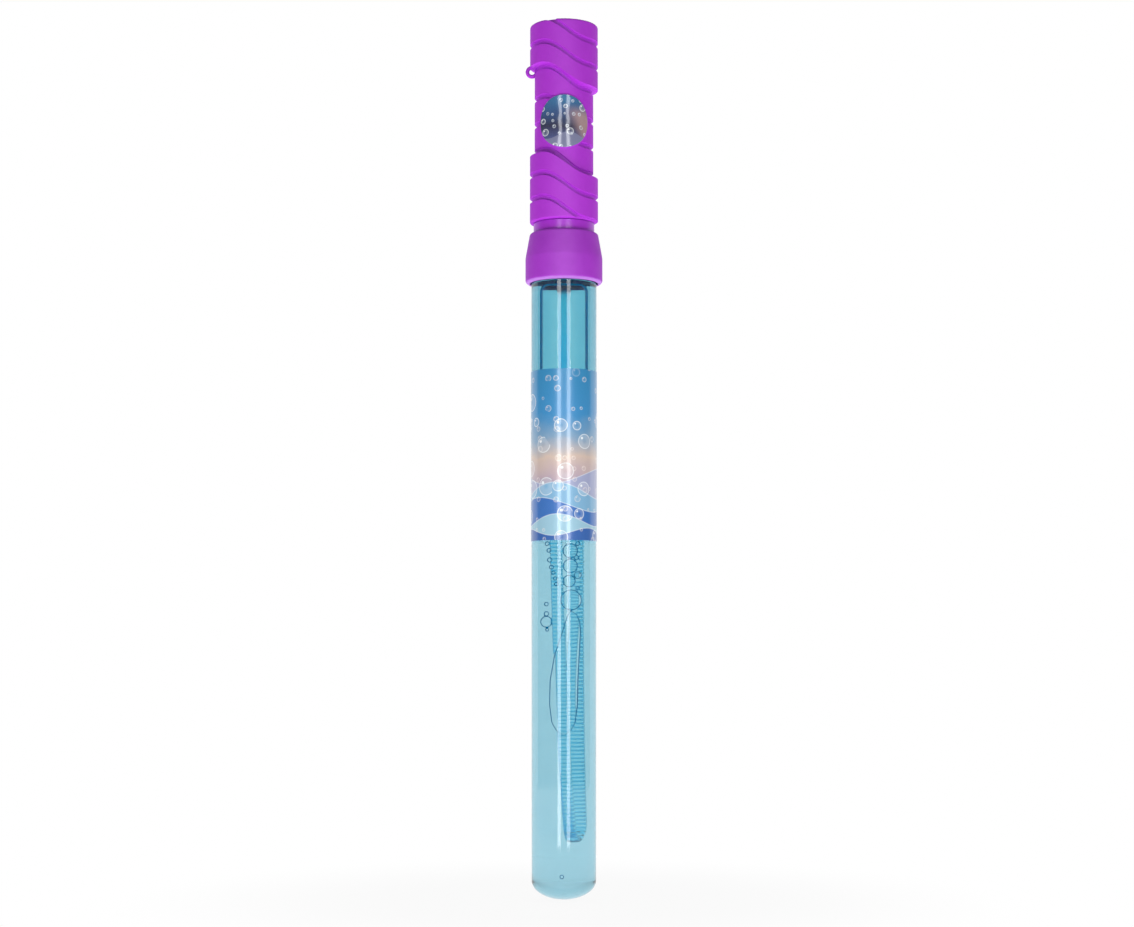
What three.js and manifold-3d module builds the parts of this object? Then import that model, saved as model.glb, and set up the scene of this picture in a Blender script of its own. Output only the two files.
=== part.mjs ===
// A long bubble wand: a ribbed dipping wand hangs from a screw-cap handle inside a round-bottomed tube.
// Millimetres, +Z up. The origin is the lowest point of the tube's domed foot, on the axis that all
// pieces share. The handle's sticker faces -Y and the cord loop stands on the -X side.

import * as THREE from "three";
import { mergeVertices } from "three/addons/utils/BufferGeometryUtils.js";
import Module from "manifold-3d";

const wasm = await Module();
wasm.setup();

// Facets and clearances
const ROUND_FACETS = 32; // flats round a turned piece
const GRIP_FACETS = 40; // flats round the grip, whose wavy grooves need more
const ARC_STEPS = 5; // flats along a quarter arc of a profile
const SEAT_GAP = 0.2; // between faces that bear on each other
const RUNNING_GAP = 0.3; // round a piece that turns or plugs into another
const SKIN_GAP = 0.05; // under the label and the sticker

// Tube: a drafted moulding with a domed foot and a threaded neck
const TUBE_FOOT_DIAMETER = 26.8; // above the dome
const TUBE_TOP_DIAMETER = 27.8; // below the shoulder
const TUBE_WALL = 1.2;
const TUBE_BODY_LENGTH = 259.4; // lowest point of the foot to the shoulder
const DOME_HEIGHT = 7.8;
const FOOT_THICKNESS = 3.2; // at the middle of the dome
const SHOULDER_HEIGHT = 2;
const NECK_DIAMETER = 24.4;
const NECK_WALL = 1.25;
const NECK_LENGTH = 15.4;
const RIM_CHAMFER = 0.4;

// Screw thread between the neck and the cap, right-handed, one start
const THREAD_PITCH = 4;
const THREAD_TURNS = 1.5;
const THREAD_HEIGHT = 1; // a ridge's height off its wall
const THREAD_ROOT_WIDTH = 2.4;
const THREAD_CREST_WIDTH = 1.3;
const THREAD_BITE = 0.3; // how far a ridge is rooted in its wall
const THREAD_CREST_GAP = 0.4; // from a ridge's crest to the other piece's wall
const THREAD_RUN_OUT = 30; // degrees over which a ridge dies away at each end
const THREAD_BELOW_RIM = 3.4; // rim down to the middle of the neck ridge's top end

// Label: a printed film wrapped round the tube
const LABEL_BOTTOM = 148.5;
const LABEL_HEIGHT = 71.8;
const LABEL_THICKNESS = 0.15;

// Sealing liner: a soft ring between the rim and the cap's web
const LINER_THICKNESS = 1;
const LINER_BORE = 19;

// Screw cap: collar skirt, web, bare waist, and a spigot that carries the grip
const COLLAR_DIAMETER = 32.8;
const COLLAR_TOP_DIAMETER = 29.4;
const COLLAR_CONE_HEIGHT = 10.7;
const COLLAR_EDGE = 1.2; // rounding of the collar's upper edge
const COLLAR_LIP = 1.6; // rounding of its lower edge
const SKIRT_DEPTH = 20; // web down to the collar's lower edge
const SKIRT_MOUTH_DEPTH = 4.4; // the wide mouth that goes over the tube's body
const SKIRT_MOUTH_GAP = 0.6;
const WEB_THICKNESS = 1.6;
const WAIST_DIAMETER = 25.9;
const WAIST_HEIGHT = 4.2;
const SPIGOT_LENGTH = 14;
const SPIGOT_WALL = 1.5;
const SOCKET_LENGTH = 10; // the boss above the web that the wand's plug snaps into
const SOCKET_WALL = 1.6;

// Grip: a hollow handle with raised, wavy bands and a slimmer waist for the sticker
const GRIP_LENGTH = 85.8;
const GRIP_DIAMETER = 29.1;
const GRIP_RECESS_DIAMETER = 25.1;
const GRIP_BORE = 20.4;
const GRIP_END_WALL = 2.6;
const GRIP_EDGE = 0.8; // chamfer of both ends
const RECESS_BOTTOM = 24.2; // middle of the recess's lower step, above the grip's lower end
const RECESS_LENGTH = 38.6;
const RECESS_STEP = 0.9; // height over which the surface steps in
const RECESS_LOWER_BAND = 12.9; // recess's lower step to its first groove
const RECESS_MIDDLE_BAND = 11.4; // first groove to second
const EDGE_BAND = 9; // the raised band beside the recess, at both its ends
const BAND_PITCH = 10.4; // the raised bands beyond
const GROOVE_WIDTH = 2.2;
const GROOVE_FLOOR = 0.9;
const GROOVE_DEPTH = 1;
const WAVE_DROP = 9.8; // how much lower a groove runs on the +X side than on the -X side
const WAVE_REACH = 0.72; // share of the radius over which a groove falls

// Cord loop at the upper end of the recess
const LOOP_DIAMETER = 5.2;
const LOOP_HOLE = 2.2;
const LOOP_THICKNESS = 2.2;
const LOOP_STANDOFF = 0.1; // recess wall to the near edge of the hole
const LOOP_DROP = 1.5; // below the edge of the raised band

// Sticker and the smooth pad moulded under it, both round before they wrap round the grip
const STICKER_DIAMETER = 22.6;
const STICKER_RISE = 17.6; // recess's lower step to the sticker's middle
const STICKER_THICKNESS = 0.2;
const PAD_RIM = 0.5;
const PAD_HEIGHT = 0.25;

// Wand: plug, stem and a long ribbed frame that the film of solution forms in
const PLUG_DIAMETER = 6;
const PLUG_HEAD_DIAMETER = 7.4;
const PLUG_HEAD_HEIGHT = 2.2;
const FLANGE_DIAMETER = 10;
const FLANGE_THICKNESS = 1.2;
const UPPER_STEM_LENGTH = 22.5;
const LOWER_STEM_DIAMETER = 4.8;
const LOWER_STEM_LENGTH = 27.3;
const FRAME_LENGTH = 202.7;
const FRAME_WIDTH = 14.4; // over the ribs
const FRAME_THICKNESS = 4.4;
const FRAME_BAR = 2.4; // one side bar, over the ribs on both its faces
const RIB_HEIGHT = 0.5;
const RIB_PITCH = 2;
const FRAME_HEAD = 9; // length over which the frame widens from the stem
const WAND_TURN = 55; // degrees that the frame stands turned from facing the sticker

// Places along the axis that several pieces share
const RIM_Z = TUBE_BODY_LENGTH + SHOULDER_HEIGHT + NECK_LENGTH;
const WEB_Z = RIM_Z + SEAT_GAP + LINER_THICKNESS + SEAT_GAP; // underside of the cap's web
const GRIP_Z = WEB_THICKNESS + WAIST_HEIGHT + SEAT_GAP; // grip's lower end, above the web's underside
const STICKER_Z = RECESS_BOTTOM + STICKER_RISE; // above the grip's lower end
const NECK_THREAD_Z = RIM_Z - THREAD_BELOW_RIM - THREAD_TURNS * THREAD_PITCH; // neck ridge's lower end
const CAP_THREAD_Z = NECK_THREAD_Z - THREAD_PITCH / 2 - WEB_Z; // cap's ridge, half a pitch below

// Radii that several pieces share
const CAP_THREAD_BORE = NECK_DIAMETER / 2 + THREAD_HEIGHT + THREAD_CREST_GAP;
const SOCKET_BORE = PLUG_DIAMETER / 2 + RUNNING_GAP;
const PAD_RADIUS = GRIP_RECESS_DIAMETER / 2 + PAD_HEIGHT;

const radians = THREE.MathUtils.degToRad;
const point = (x, y) => new THREE.Vector2(x, y);

// A closed geometry as a solid that can be joined and cut
function solidOf(geometry) {
  const bare = geometry.index ? geometry.toNonIndexed() : geometry.clone();
  bare.deleteAttribute("normal");
  bare.deleteAttribute("uv");
  const merged = mergeVertices(bare, 1e-4);
  const corners = [];
  const index = merged.index.array;
  for (let i = 0; i < index.length; i += 3) {
    const [a, b, c] = index.slice(i, i + 3);
    if (a !== b && b !== c && c !== a) corners.push(a, b, c);
  }
  return new wasm.Manifold(
    new wasm.Mesh({
      numProp: 3,
      vertProperties: new Float32Array(merged.attributes.position.array),
      triVerts: new Uint32Array(corners),
    }),
  );
}

// A solid back as a geometry with flat shading
function geometryOf(solid) {
  const mesh = solid.getMesh();
  const geometry = new THREE.BufferGeometry();
  geometry.setAttribute("position", new THREE.BufferAttribute(mesh.vertProperties, 3));
  geometry.setIndex(new THREE.BufferAttribute(mesh.triVerts, 1));
  const flat = geometry.toNonIndexed();
  flat.computeVertexNormals();
  return flat;
}

// A profile of (radius, height) points turned about Z. It runs up the outside and down the inside.
function turned(profile, facets = ROUND_FACETS) {
  return solidOf(new THREE.LatheGeometry(profile, facets).rotateX(Math.PI / 2));
}

// A flat outline in the X-Z plane, given thickness along Y about y = 0
function plate(shape, thickness, curveSteps = ROUND_FACETS / 2) {
  const geometry = new THREE.ExtrudeGeometry(shape, {
    depth: thickness,
    bevelEnabled: false,
    curveSegments: curveSteps,
  });
  return solidOf(geometry.translate(0, 0, -thickness / 2).rotateX(Math.PI / 2));
}

// Points of a quarter ellipse about (radius, height), from one angle to another in degrees
function arc(radius, height, across, along, from, to, steps = ARC_STEPS) {
  return Array.from({ length: steps + 1 }, (_, i) => {
    const angle = radians(from + ((to - from) * i) / steps);
    return point(radius + across * Math.cos(angle), height + along * Math.sin(angle));
  });
}

// A one-start helical ridge. It stands on a wall of the given radius, outwards for a neck and inwards
// for a cap, and its middle climbs from startZ by one pitch a turn.
function threadRidge(wallRadius, outwards, startZ) {
  const side = outwards ? 1 : -1;
  const steps = Math.round(THREAD_TURNS * ROUND_FACETS);
  const positions = [];
  const index = [];
  for (let i = 0; i <= steps; i++) {
    const turn = (THREAD_TURNS * i) / steps;
    const fromEnd = Math.min(turn, THREAD_TURNS - turn) * 360;
    const fade = Math.min(1, fromEnd / THREAD_RUN_OUT);
    const angle = turn * 2 * Math.PI;
    const middle = startZ + turn * THREAD_PITCH;
    const root = wallRadius - side * THREAD_BITE;
    const crest = wallRadius + side * THREAD_HEIGHT * fade - side * (1 - fade) * (THREAD_BITE / 2);
    const section = [
      [root, -THREAD_ROOT_WIDTH / 2],
      [crest, -THREAD_CREST_WIDTH / 2],
      [crest, THREAD_CREST_WIDTH / 2],
      [root, THREAD_ROOT_WIDTH / 2],
    ];
    for (const [radius, rise] of section)
      positions.push(radius * Math.cos(angle), radius * Math.sin(angle), middle + rise);
  }
  const corners = 4;
  const quad = (a, b, c, d) => (outwards ? index.push(a, b, c, a, c, d) : index.push(a, c, b, a, d, c));
  for (let i = 0; i < steps; i++)
    for (let k = 0; k < corners; k++) {
      const next = (k + 1) % corners;
      const here = i * corners;
      const there = here + corners;
      quad(here + k, there + k, there + next, here + next);
    }
  quad(0, 1, 2, 3);
  const last = steps * corners;
  quad(last + 3, last + 2, last + 1, last);
  const geometry = new THREE.BufferGeometry();
  geometry.setAttribute("position", new THREE.Float32BufferAttribute(positions, 3));
  geometry.setIndex(index);
  return solidOf(geometry);
}

// The tube's outer radius at a height on its drafted body
function tubeRadius(z) {
  const share = (z - DOME_HEIGHT) / (TUBE_BODY_LENGTH - DOME_HEIGHT);
  return THREE.MathUtils.lerp(TUBE_FOOT_DIAMETER, TUBE_TOP_DIAMETER, share) / 2;
}

function tube() {
  const footRadius = TUBE_FOOT_DIAMETER / 2;
  const neckRadius = NECK_DIAMETER / 2;
  const neckFoot = TUBE_BODY_LENGTH + SHOULDER_HEIGHT;
  const innerDome = DOME_HEIGHT - FOOT_THICKNESS + TUBE_WALL;
  const innerDomeTop = FOOT_THICKNESS + innerDome;
  const profile = [
    ...arc(0, DOME_HEIGHT, footRadius, DOME_HEIGHT, -90, 0, 2 * ARC_STEPS),
    point(tubeRadius(TUBE_BODY_LENGTH), TUBE_BODY_LENGTH),
    point(neckRadius, neckFoot),
    point(neckRadius, RIM_Z - RIM_CHAMFER),
    point(neckRadius - RIM_CHAMFER, RIM_Z),
    point(neckRadius - NECK_WALL, RIM_Z),
    point(neckRadius - NECK_WALL, neckFoot - TUBE_WALL),
    point(tubeRadius(TUBE_BODY_LENGTH) - TUBE_WALL, TUBE_BODY_LENGTH - TUBE_WALL),
    ...arc(0, innerDomeTop, footRadius - TUBE_WALL, innerDome, 0, -90, 2 * ARC_STEPS),
  ];
  return turned(profile).add(threadRidge(neckRadius, true, NECK_THREAD_Z));
}

function tubeLabel() {
  const bottom = tubeRadius(LABEL_BOTTOM) + SKIN_GAP;
  const top = tubeRadius(LABEL_BOTTOM + LABEL_HEIGHT) + SKIN_GAP;
  return turned([
    point(bottom, 0),
    point(bottom + LABEL_THICKNESS, 0),
    point(top + LABEL_THICKNESS, LABEL_HEIGHT),
    point(top, LABEL_HEIGHT),
    point(bottom, 0),
  ]);
}

function sealLiner() {
  const outer = CAP_THREAD_BORE - THREAD_HEIGHT - RUNNING_GAP;
  return turned([
    point(LINER_BORE / 2, 0),
    point(outer, 0),
    point(outer, LINER_THICKNESS),
    point(LINER_BORE / 2, LINER_THICKNESS),
    point(LINER_BORE / 2, 0),
  ]);
}

// Heights are above the underside of the web.
function screwCap() {
  const collar = COLLAR_DIAMETER / 2;
  const collarTop = COLLAR_TOP_DIAMETER / 2;
  const waist = WAIST_DIAMETER / 2;
  const spigot = GRIP_BORE / 2 - RUNNING_GAP;
  const mouth = TUBE_TOP_DIAMETER / 2 + SKIRT_MOUTH_GAP;
  const socket = SOCKET_BORE + SOCKET_WALL;
  const spigotFoot = WEB_THICKNESS + WAIST_HEIGHT;
  const spigotTop = spigotFoot + SPIGOT_LENGTH;
  const mouthTop = SKIRT_MOUTH_DEPTH - SKIRT_DEPTH;
  const profile = [
    point(mouth, -SKIRT_DEPTH),
    ...arc(collar - COLLAR_LIP, COLLAR_LIP - SKIRT_DEPTH, COLLAR_LIP, COLLAR_LIP, -90, 0),
    point(collar, WEB_THICKNESS - COLLAR_CONE_HEIGHT),
    ...arc(collarTop - COLLAR_EDGE, WEB_THICKNESS - COLLAR_EDGE, COLLAR_EDGE, COLLAR_EDGE, 10, 90),
    point(waist, WEB_THICKNESS),
    point(waist, spigotFoot),
    point(spigot, spigotFoot),
    point(spigot, spigotTop),
    point(spigot - SPIGOT_WALL, spigotTop),
    point(spigot - SPIGOT_WALL, WEB_THICKNESS),
    point(socket, WEB_THICKNESS),
    point(socket, WEB_THICKNESS + SOCKET_LENGTH),
    point(SOCKET_BORE, WEB_THICKNESS + SOCKET_LENGTH),
    point(SOCKET_BORE, 0),
    point(CAP_THREAD_BORE, 0),
    point(CAP_THREAD_BORE, mouthTop + (mouth - CAP_THREAD_BORE)),
    point(mouth, mouthTop),
    point(mouth, -SKIRT_DEPTH),
  ];
  return turned(profile).add(threadRidge(CAP_THREAD_BORE, false, CAP_THREAD_Z));
}

// How far a groove rises above its middle level at an angle round the grip, from +X
function waveRise(angle) {
  const across = THREE.MathUtils.clamp(Math.cos(angle) / WAVE_REACH, -1, 1);
  return (-WAVE_DROP / 2) * Math.sin((across * Math.PI) / 2);
}

// The grip's (radius, level) profile, before the wave lifts and drops it round the grip
function bandProfile() {
  const raised = GRIP_DIAMETER / 2;
  const recess = GRIP_RECESS_DIAMETER / 2;
  const recessTop = RECESS_BOTTOM + RECESS_LENGTH;
  const wave = WAVE_DROP / 2;
  const groove = (level, radius) => [
    point(radius, level - GROOVE_WIDTH / 2),
    point(radius - GROOVE_DEPTH, level - GROOVE_FLOOR / 2),
    point(radius - GROOVE_DEPTH, level + GROOVE_FLOOR / 2),
    point(radius, level + GROOVE_WIDTH / 2),
  ];
  const below = [];
  for (let z = RECESS_BOTTOM - EDGE_BAND; z + wave > 0; z -= BAND_PITCH)
    below.unshift(...groove(z, raised));
  const above = [];
  for (let z = recessTop + EDGE_BAND; z - wave < GRIP_LENGTH; z += BAND_PITCH)
    above.push(...groove(z, raised));
  return [
    point(raised, -wave - GROOVE_WIDTH),
    ...below,
    point(raised, RECESS_BOTTOM - RECESS_STEP / 2),
    point(recess, RECESS_BOTTOM + RECESS_STEP / 2),
    ...groove(RECESS_BOTTOM + RECESS_LOWER_BAND, recess),
    ...groove(RECESS_BOTTOM + RECESS_LOWER_BAND + RECESS_MIDDLE_BAND, recess),
    point(recess, recessTop - RECESS_STEP / 2),
    point(raised, recessTop + RECESS_STEP / 2),
    ...above,
    point(raised, GRIP_LENGTH + wave + GROOVE_WIDTH),
  ];
}

// The profile carried round the axis on the wave, closed by a fan at each end
function wavyRod(profile) {
  const positions = [];
  const index = [];
  for (const { x: radius, y: level } of profile)
    for (let i = 0; i < GRIP_FACETS; i++) {
      const angle = (2 * Math.PI * i) / GRIP_FACETS;
      positions.push(radius * Math.cos(angle), radius * Math.sin(angle), level + waveRise(angle));
    }
  const foot = positions.length / 3;
  const head = foot + 1;
  positions.push(0, 0, profile[0].y, 0, 0, profile[profile.length - 1].y);
  const topRow = (profile.length - 1) * GRIP_FACETS;
  for (let i = 0; i < GRIP_FACETS; i++) {
    const next = (i + 1) % GRIP_FACETS;
    for (let row = 0; row < topRow; row += GRIP_FACETS) {
      const up = row + GRIP_FACETS;
      index.push(row + i, row + next, up + next, row + i, up + next, up + i);
    }
    index.push(foot, next, i, head, topRow + i, topRow + next);
  }
  const geometry = new THREE.BufferGeometry();
  geometry.setAttribute("position", new THREE.Float32BufferAttribute(positions, 3));
  geometry.setIndex(index);
  return solidOf(geometry);
}

// A round patch of the given diameter, wrapped on a cylinder and seen from the front as an ellipse.
// The prism runs from the axis to in front of the grip.
function patchPrism(diameter, radius) {
  const across = radius * Math.sin(diameter / 2 / radius);
  const outline = new THREE.Shape().absellipse(0, STICKER_Z, across, diameter / 2, 0, 2 * Math.PI);
  return plate(outline, GRIP_DIAMETER).translate(0, -GRIP_DIAMETER / 2, 0);
}

function cordLoop() {
  const recess = GRIP_RECESS_DIAMETER / 2;
  const x = -(recess + LOOP_STANDOFF + LOOP_HOLE / 2);
  const z = RECESS_BOTTOM + RECESS_LENGTH + WAVE_DROP / 2 - LOOP_DROP;
  const ring = new THREE.Shape().absarc(x, z, LOOP_DIAMETER / 2, 0, 2 * Math.PI);
  const hole = new THREE.Shape().absarc(x, z, LOOP_HOLE / 2, 0, 2 * Math.PI);
  return [plate(ring, LOOP_THICKNESS, ARC_STEPS), plate(hole, GRIP_DIAMETER, ARC_STEPS)];
}

// Heights are above the grip's lower end.
function handleGrip() {
  const raised = GRIP_DIAMETER / 2;
  const bore = GRIP_BORE / 2;
  const beyond = GRIP_EDGE; // the end cones run on past the surface that they chamfer
  const ends = turned([
    point(0, 0),
    point(raised - GRIP_EDGE, 0),
    point(raised + beyond, GRIP_EDGE + beyond),
    point(raised + beyond, GRIP_LENGTH - GRIP_EDGE - beyond),
    point(raised - GRIP_EDGE, GRIP_LENGTH),
    point(0, GRIP_LENGTH),
  ], GRIP_FACETS);
  const hollow = turned([
    point(0, -SEAT_GAP),
    point(bore, -SEAT_GAP),
    point(bore, GRIP_LENGTH - GRIP_END_WALL - bore / 2),
    ...arc(0, GRIP_LENGTH - GRIP_END_WALL - bore / 2, bore, bore / 2, 0, 90).slice(1),
  ]);
  const padBelow = STICKER_Z - STICKER_DIAMETER;
  const padCylinder = turned([
    point(0, padBelow),
    point(PAD_RADIUS, padBelow),
    point(PAD_RADIUS, STICKER_Z + STICKER_DIAMETER),
    point(0, STICKER_Z + STICKER_DIAMETER),
  ], GRIP_FACETS);
  const pad = padCylinder.intersect(patchPrism(STICKER_DIAMETER + 2 * PAD_RIM, PAD_RADIUS));
  const [loop, loopHole] = cordLoop();
  const outside = wavyRod(bandProfile()).intersect(ends).add(pad).add(loop);
  return outside.subtract(hollow).subtract(loopHole);
}

function gripSticker() {
  const inner = PAD_RADIUS + SKIN_GAP;
  const outer = inner + STICKER_THICKNESS;
  const below = STICKER_Z - STICKER_DIAMETER;
  const above = STICKER_Z + STICKER_DIAMETER;
  const shell = turned([
    point(inner, below),
    point(outer, below),
    point(outer, above),
    point(inner, above),
    point(inner, below),
  ], GRIP_FACETS);
  return shell.intersect(patchPrism(STICKER_DIAMETER, outer));
}

// A toothed edge between two heights. The valleys between the ribs lie at x = root, and the ribs
// come to an edge at x = crest.
function ribbedEdge(root, crest, from, to) {
  const ribs = Math.max(1, Math.round(Math.abs(to - from) / RIB_PITCH));
  const edge = [];
  for (let i = 0; i < ribs; i++) {
    edge.push(point(root, from + ((to - from) * i) / ribs));
    edge.push(point(crest, from + ((to - from) * (i + 0.5)) / ribs));
  }
  edge.push(point(root, to));
  return edge;
}

// The frame's outline: a stem-wide head, ribbed sides, and a round end. Its slot is ribbed too.
// Heights are from the underside of the cap's web.
function wandFrame(topZ) {
  const outer = FRAME_WIDTH / 2 - RIB_HEIGHT;
  const slot = FRAME_WIDTH / 2 - FRAME_BAR + RIB_HEIGHT;
  const bottomZ = topZ - FRAME_LENGTH;
  const stem = LOWER_STEM_DIAMETER / 2;
  const sideTop = topZ - FRAME_HEAD;
  const sideEnd = bottomZ + outer;
  const slotTop = sideTop - slot;
  const slotEnd = bottomZ + FRAME_BAR - RIB_HEIGHT + slot;
  const head = new THREE.CubicBezierCurve(
    point(stem, topZ),
    point(stem, topZ - FRAME_HEAD / 2),
    point(outer, sideTop + FRAME_HEAD / 2),
    point(outer, sideTop),
  );
  const rightHead = head.getPoints(ARC_STEPS);
  const leftHead = rightHead.map((p) => point(-p.x, p.y)).reverse();
  const outline = new THREE.Shape([
    ...leftHead,
    ...rightHead,
    ...ribbedEdge(outer, FRAME_WIDTH / 2, sideTop, sideEnd).slice(1),
    ...arc(0, sideEnd, outer, outer, 0, -180, 2 * ARC_STEPS).slice(1),
    ...ribbedEdge(-outer, -FRAME_WIDTH / 2, sideEnd, sideTop).slice(1, -1),
  ]);
  const opening = new THREE.Path([
    ...arc(0, slotTop, slot, slot, 0, 180, 2 * ARC_STEPS),
    ...ribbedEdge(-slot, RIB_HEIGHT - slot, slotTop, slotEnd).slice(1),
    ...arc(0, slotEnd, slot, slot, 180, 360, 2 * ARC_STEPS).slice(1),
    ...ribbedEdge(slot, slot - RIB_HEIGHT, slotEnd, slotTop).slice(1, -1),
  ]);
  outline.holes.push(opening);
  return plate(outline, FRAME_THICKNESS);
}

// Heights are from the underside of the cap's web, positive in the socket above it.
function wand() {
  const plug = PLUG_DIAMETER / 2;
  const stem = LOWER_STEM_DIAMETER / 2;
  const headFoot = WEB_THICKNESS + SOCKET_LENGTH + SEAT_GAP;
  const headTop = headFoot + PLUG_HEAD_HEIGHT;
  const flangeFoot = -SEAT_GAP - FLANGE_THICKNESS;
  const stepZ = flangeFoot - UPPER_STEM_LENGTH;
  const frameTop = stepZ - LOWER_STEM_LENGTH;
  const stemFoot = frameTop - FRAME_HEAD / 2;
  const shank = turned([
    point(0, stemFoot),
    point(stem, stemFoot),
    point(stem, stepZ),
    point(plug, stepZ),
    point(plug, flangeFoot),
    point(FLANGE_DIAMETER / 2, flangeFoot),
    point(FLANGE_DIAMETER / 2, -SEAT_GAP),
    point(plug, -SEAT_GAP),
    point(plug, headFoot),
    point(PLUG_HEAD_DIAMETER / 2, headFoot),
    point(plug - RUNNING_GAP, headTop),
    point(0, headTop),
  ], ROUND_FACETS / 2);
  return shank.add(wandFrame(frameTop));
}

// Finishes
const finish = (color, roughness, opacity = 1) =>
  new THREE.MeshStandardMaterial({ color, roughness, metalness: 0, opacity, transparent: opacity < 1 });
const tintedClear = finish(0x8fc8d9, 0.08, 0.4);
const blueClear = finish(0x4fb4d2, 0.15, 0.7);
const purpleMatt = finish(0xac3bcc, 0.55);
const purpleGloss = finish(0xa03bc0, 0.3);
const whiteFoam = finish(0xf2f2ee, 0.9);
const printedFilm = finish(0x5f9fc8, 0.4);
const printedPaper = finish(0x2f6f9f, 0.35);

function piece(name, solid, material) {
  const mesh = new THREE.Mesh(geometryOf(solid), material);
  mesh.name = name;
  return mesh;
}

// The tube, with its label and the liner on its rim
const bottle = new THREE.Group();
const label = piece("tube_label", tubeLabel(), printedFilm);
label.position.z = LABEL_BOTTOM;
const liner = piece("seal_liner", sealLiner(), whiteFoam);
liner.position.z = RIM_Z + SEAT_GAP;
bottle.add(piece("tube", tube(), tintedClear), label, liner);

// The handle, built on the underside of the cap's web
const handle = new THREE.Group();
handle.position.z = WEB_Z;
const grip = new THREE.Group();
grip.position.z = GRIP_Z;
grip.add(piece("handle_grip", handleGrip(), purpleMatt));
grip.add(piece("grip_sticker", gripSticker(), printedPaper));
const dippingWand = piece("wand", wand(), blueClear);
dippingWand.rotation.z = radians(WAND_TURN);
handle.add(piece("screw_cap", screwCap(), purpleGloss), grip, dippingWand);

const bubbleWand = new THREE.Group();
bubbleWand.add(bottle, handle);

export default bubbleWand;
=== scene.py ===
"""A long bubble wand: a clear tube of bubble solution, closed by a purple handle that carries a ribbed wand.

Sizes are in millimetres and become metres as each mesh is made. +Z is up, and the frame's origin is the
lowest point of the tube's domed foot. The handle's sticker faces -Y. Colours are sRGB codes.
"""

import bmesh
import bpy
import numpy as np
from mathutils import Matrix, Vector


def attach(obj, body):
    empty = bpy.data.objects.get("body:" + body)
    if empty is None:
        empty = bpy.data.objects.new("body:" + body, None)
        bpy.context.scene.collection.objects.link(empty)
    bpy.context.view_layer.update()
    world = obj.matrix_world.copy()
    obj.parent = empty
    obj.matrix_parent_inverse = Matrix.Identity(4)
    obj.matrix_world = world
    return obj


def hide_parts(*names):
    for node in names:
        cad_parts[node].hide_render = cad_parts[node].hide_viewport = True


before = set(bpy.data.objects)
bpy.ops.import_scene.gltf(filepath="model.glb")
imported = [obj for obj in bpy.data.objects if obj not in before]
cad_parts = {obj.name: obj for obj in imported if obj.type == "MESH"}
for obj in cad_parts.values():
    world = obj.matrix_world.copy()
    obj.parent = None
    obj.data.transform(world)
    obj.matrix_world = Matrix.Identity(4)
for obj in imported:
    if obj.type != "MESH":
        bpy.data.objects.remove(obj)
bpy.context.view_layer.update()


# Clear tube
# The bottle is one moulded tube of light blue clear plastic with a thick domed foot. A right-handed
# thread runs round its neck, and the cap screws down over it.

MM_PER_METRE = 1000.0
WHITE = "ffffff"
BLACK = "000000"
SAME_POINT = 1e-6
MERGE_DISTANCE = 2e-6
NO_LENGTH = 1e-7
TUBE_FACETS = 128
TUBE_FOOT_RADIUS = 13.4
TUBE_TOP_RADIUS = 13.9
TUBE_WALL = 1.2
TUBE_SHOULDER = 259.4
DOME_HEIGHT = 7.8
DOME_STEPS = 28
FOOT_THICKNESS = 3.2
NECK_RADIUS = 12.2
NECK_BORE = 10.95
NECK_FOOT = 261.4
RIM = 276.8
RIM_ROUNDING = 0.4
SHOULDER_ROUNDING = 1.2
SHOULDER_SWEEP = 50
SHOULDER_STEPS = 6
WALL_ROW = 8
NECK_ROW = 4
THREAD_ROW = 0.25
THREAD_PITCH = 4.0
THREAD_TURNS = 1.5
THREAD_HEIGHT = 1.0
THREAD_ROOT = 1.2
THREAD_CREST = 0.65
THREAD_RUN_OUT = 30 / 360
NECK_THREAD_START = 267.4
TUBE_TINT = "cfe9f2"
TUBE_PALE = "d6eef5"
FLOW_SIZE = 6.0
FLOW_DEPTH = 0.012
SMEAR_SIZE = 2.5
SMEAR_DETAIL = 4.0
TUBE_ROUGHNESS = 0.02
SMEAR_ROUGHNESS = 0.05


def run(start, end, step):
    """Points of a straight profile from one (radius, height) to another, no further apart than step."""
    start, end = np.array(start, float), np.array(end, float)
    count = max(1, int(np.ceil(np.linalg.norm(end - start) / step)))
    return start + (end - start) * np.linspace(0, 1, count + 1)[:, None]


def arc(centre, across, first, last, count=4, upward=None):
    """Points of a circle about centre, or of an ellipse with another reach upward, at even angles in degrees
    from one to another."""
    angle = np.radians(np.linspace(first, last, count + 1))
    upward = across if upward is None else upward
    return np.stack([centre[0] + across * np.cos(angle), centre[1] + upward * np.sin(angle)], 1)


def profile(*stretches):
    """Stretches of a profile joined end to end, with the points that repeat left out."""
    points = np.concatenate([np.atleast_2d(np.array(s, float)) for s in stretches])
    moved = np.linalg.norm(np.diff(points, axis=0), axis=1) > SAME_POINT
    return points[np.concatenate([[True], moved])]


def once_round(count):
    """Angles of count even steps round a circle."""
    return np.arange(count) * 2 * np.pi / count


def turned(radius, height, facets):
    """A grid of points turned about Z: each (radius, height) row goes once round. The radius may vary."""
    angle = once_round(facets)
    rows = len(height)
    radius, height = np.reshape(radius, (rows, -1)), np.reshape(height, (rows, -1))
    return np.stack(np.broadcast_arrays(radius * np.cos(angle), radius * np.sin(angle), height), -1)


def eased(share):
    """0 to 1 over a share from 0 to 1, level at both ends: three times its square less twice its cube."""
    share = np.clip(share, 0, 1)
    return share * share * (3 - 2 * share)


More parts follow.
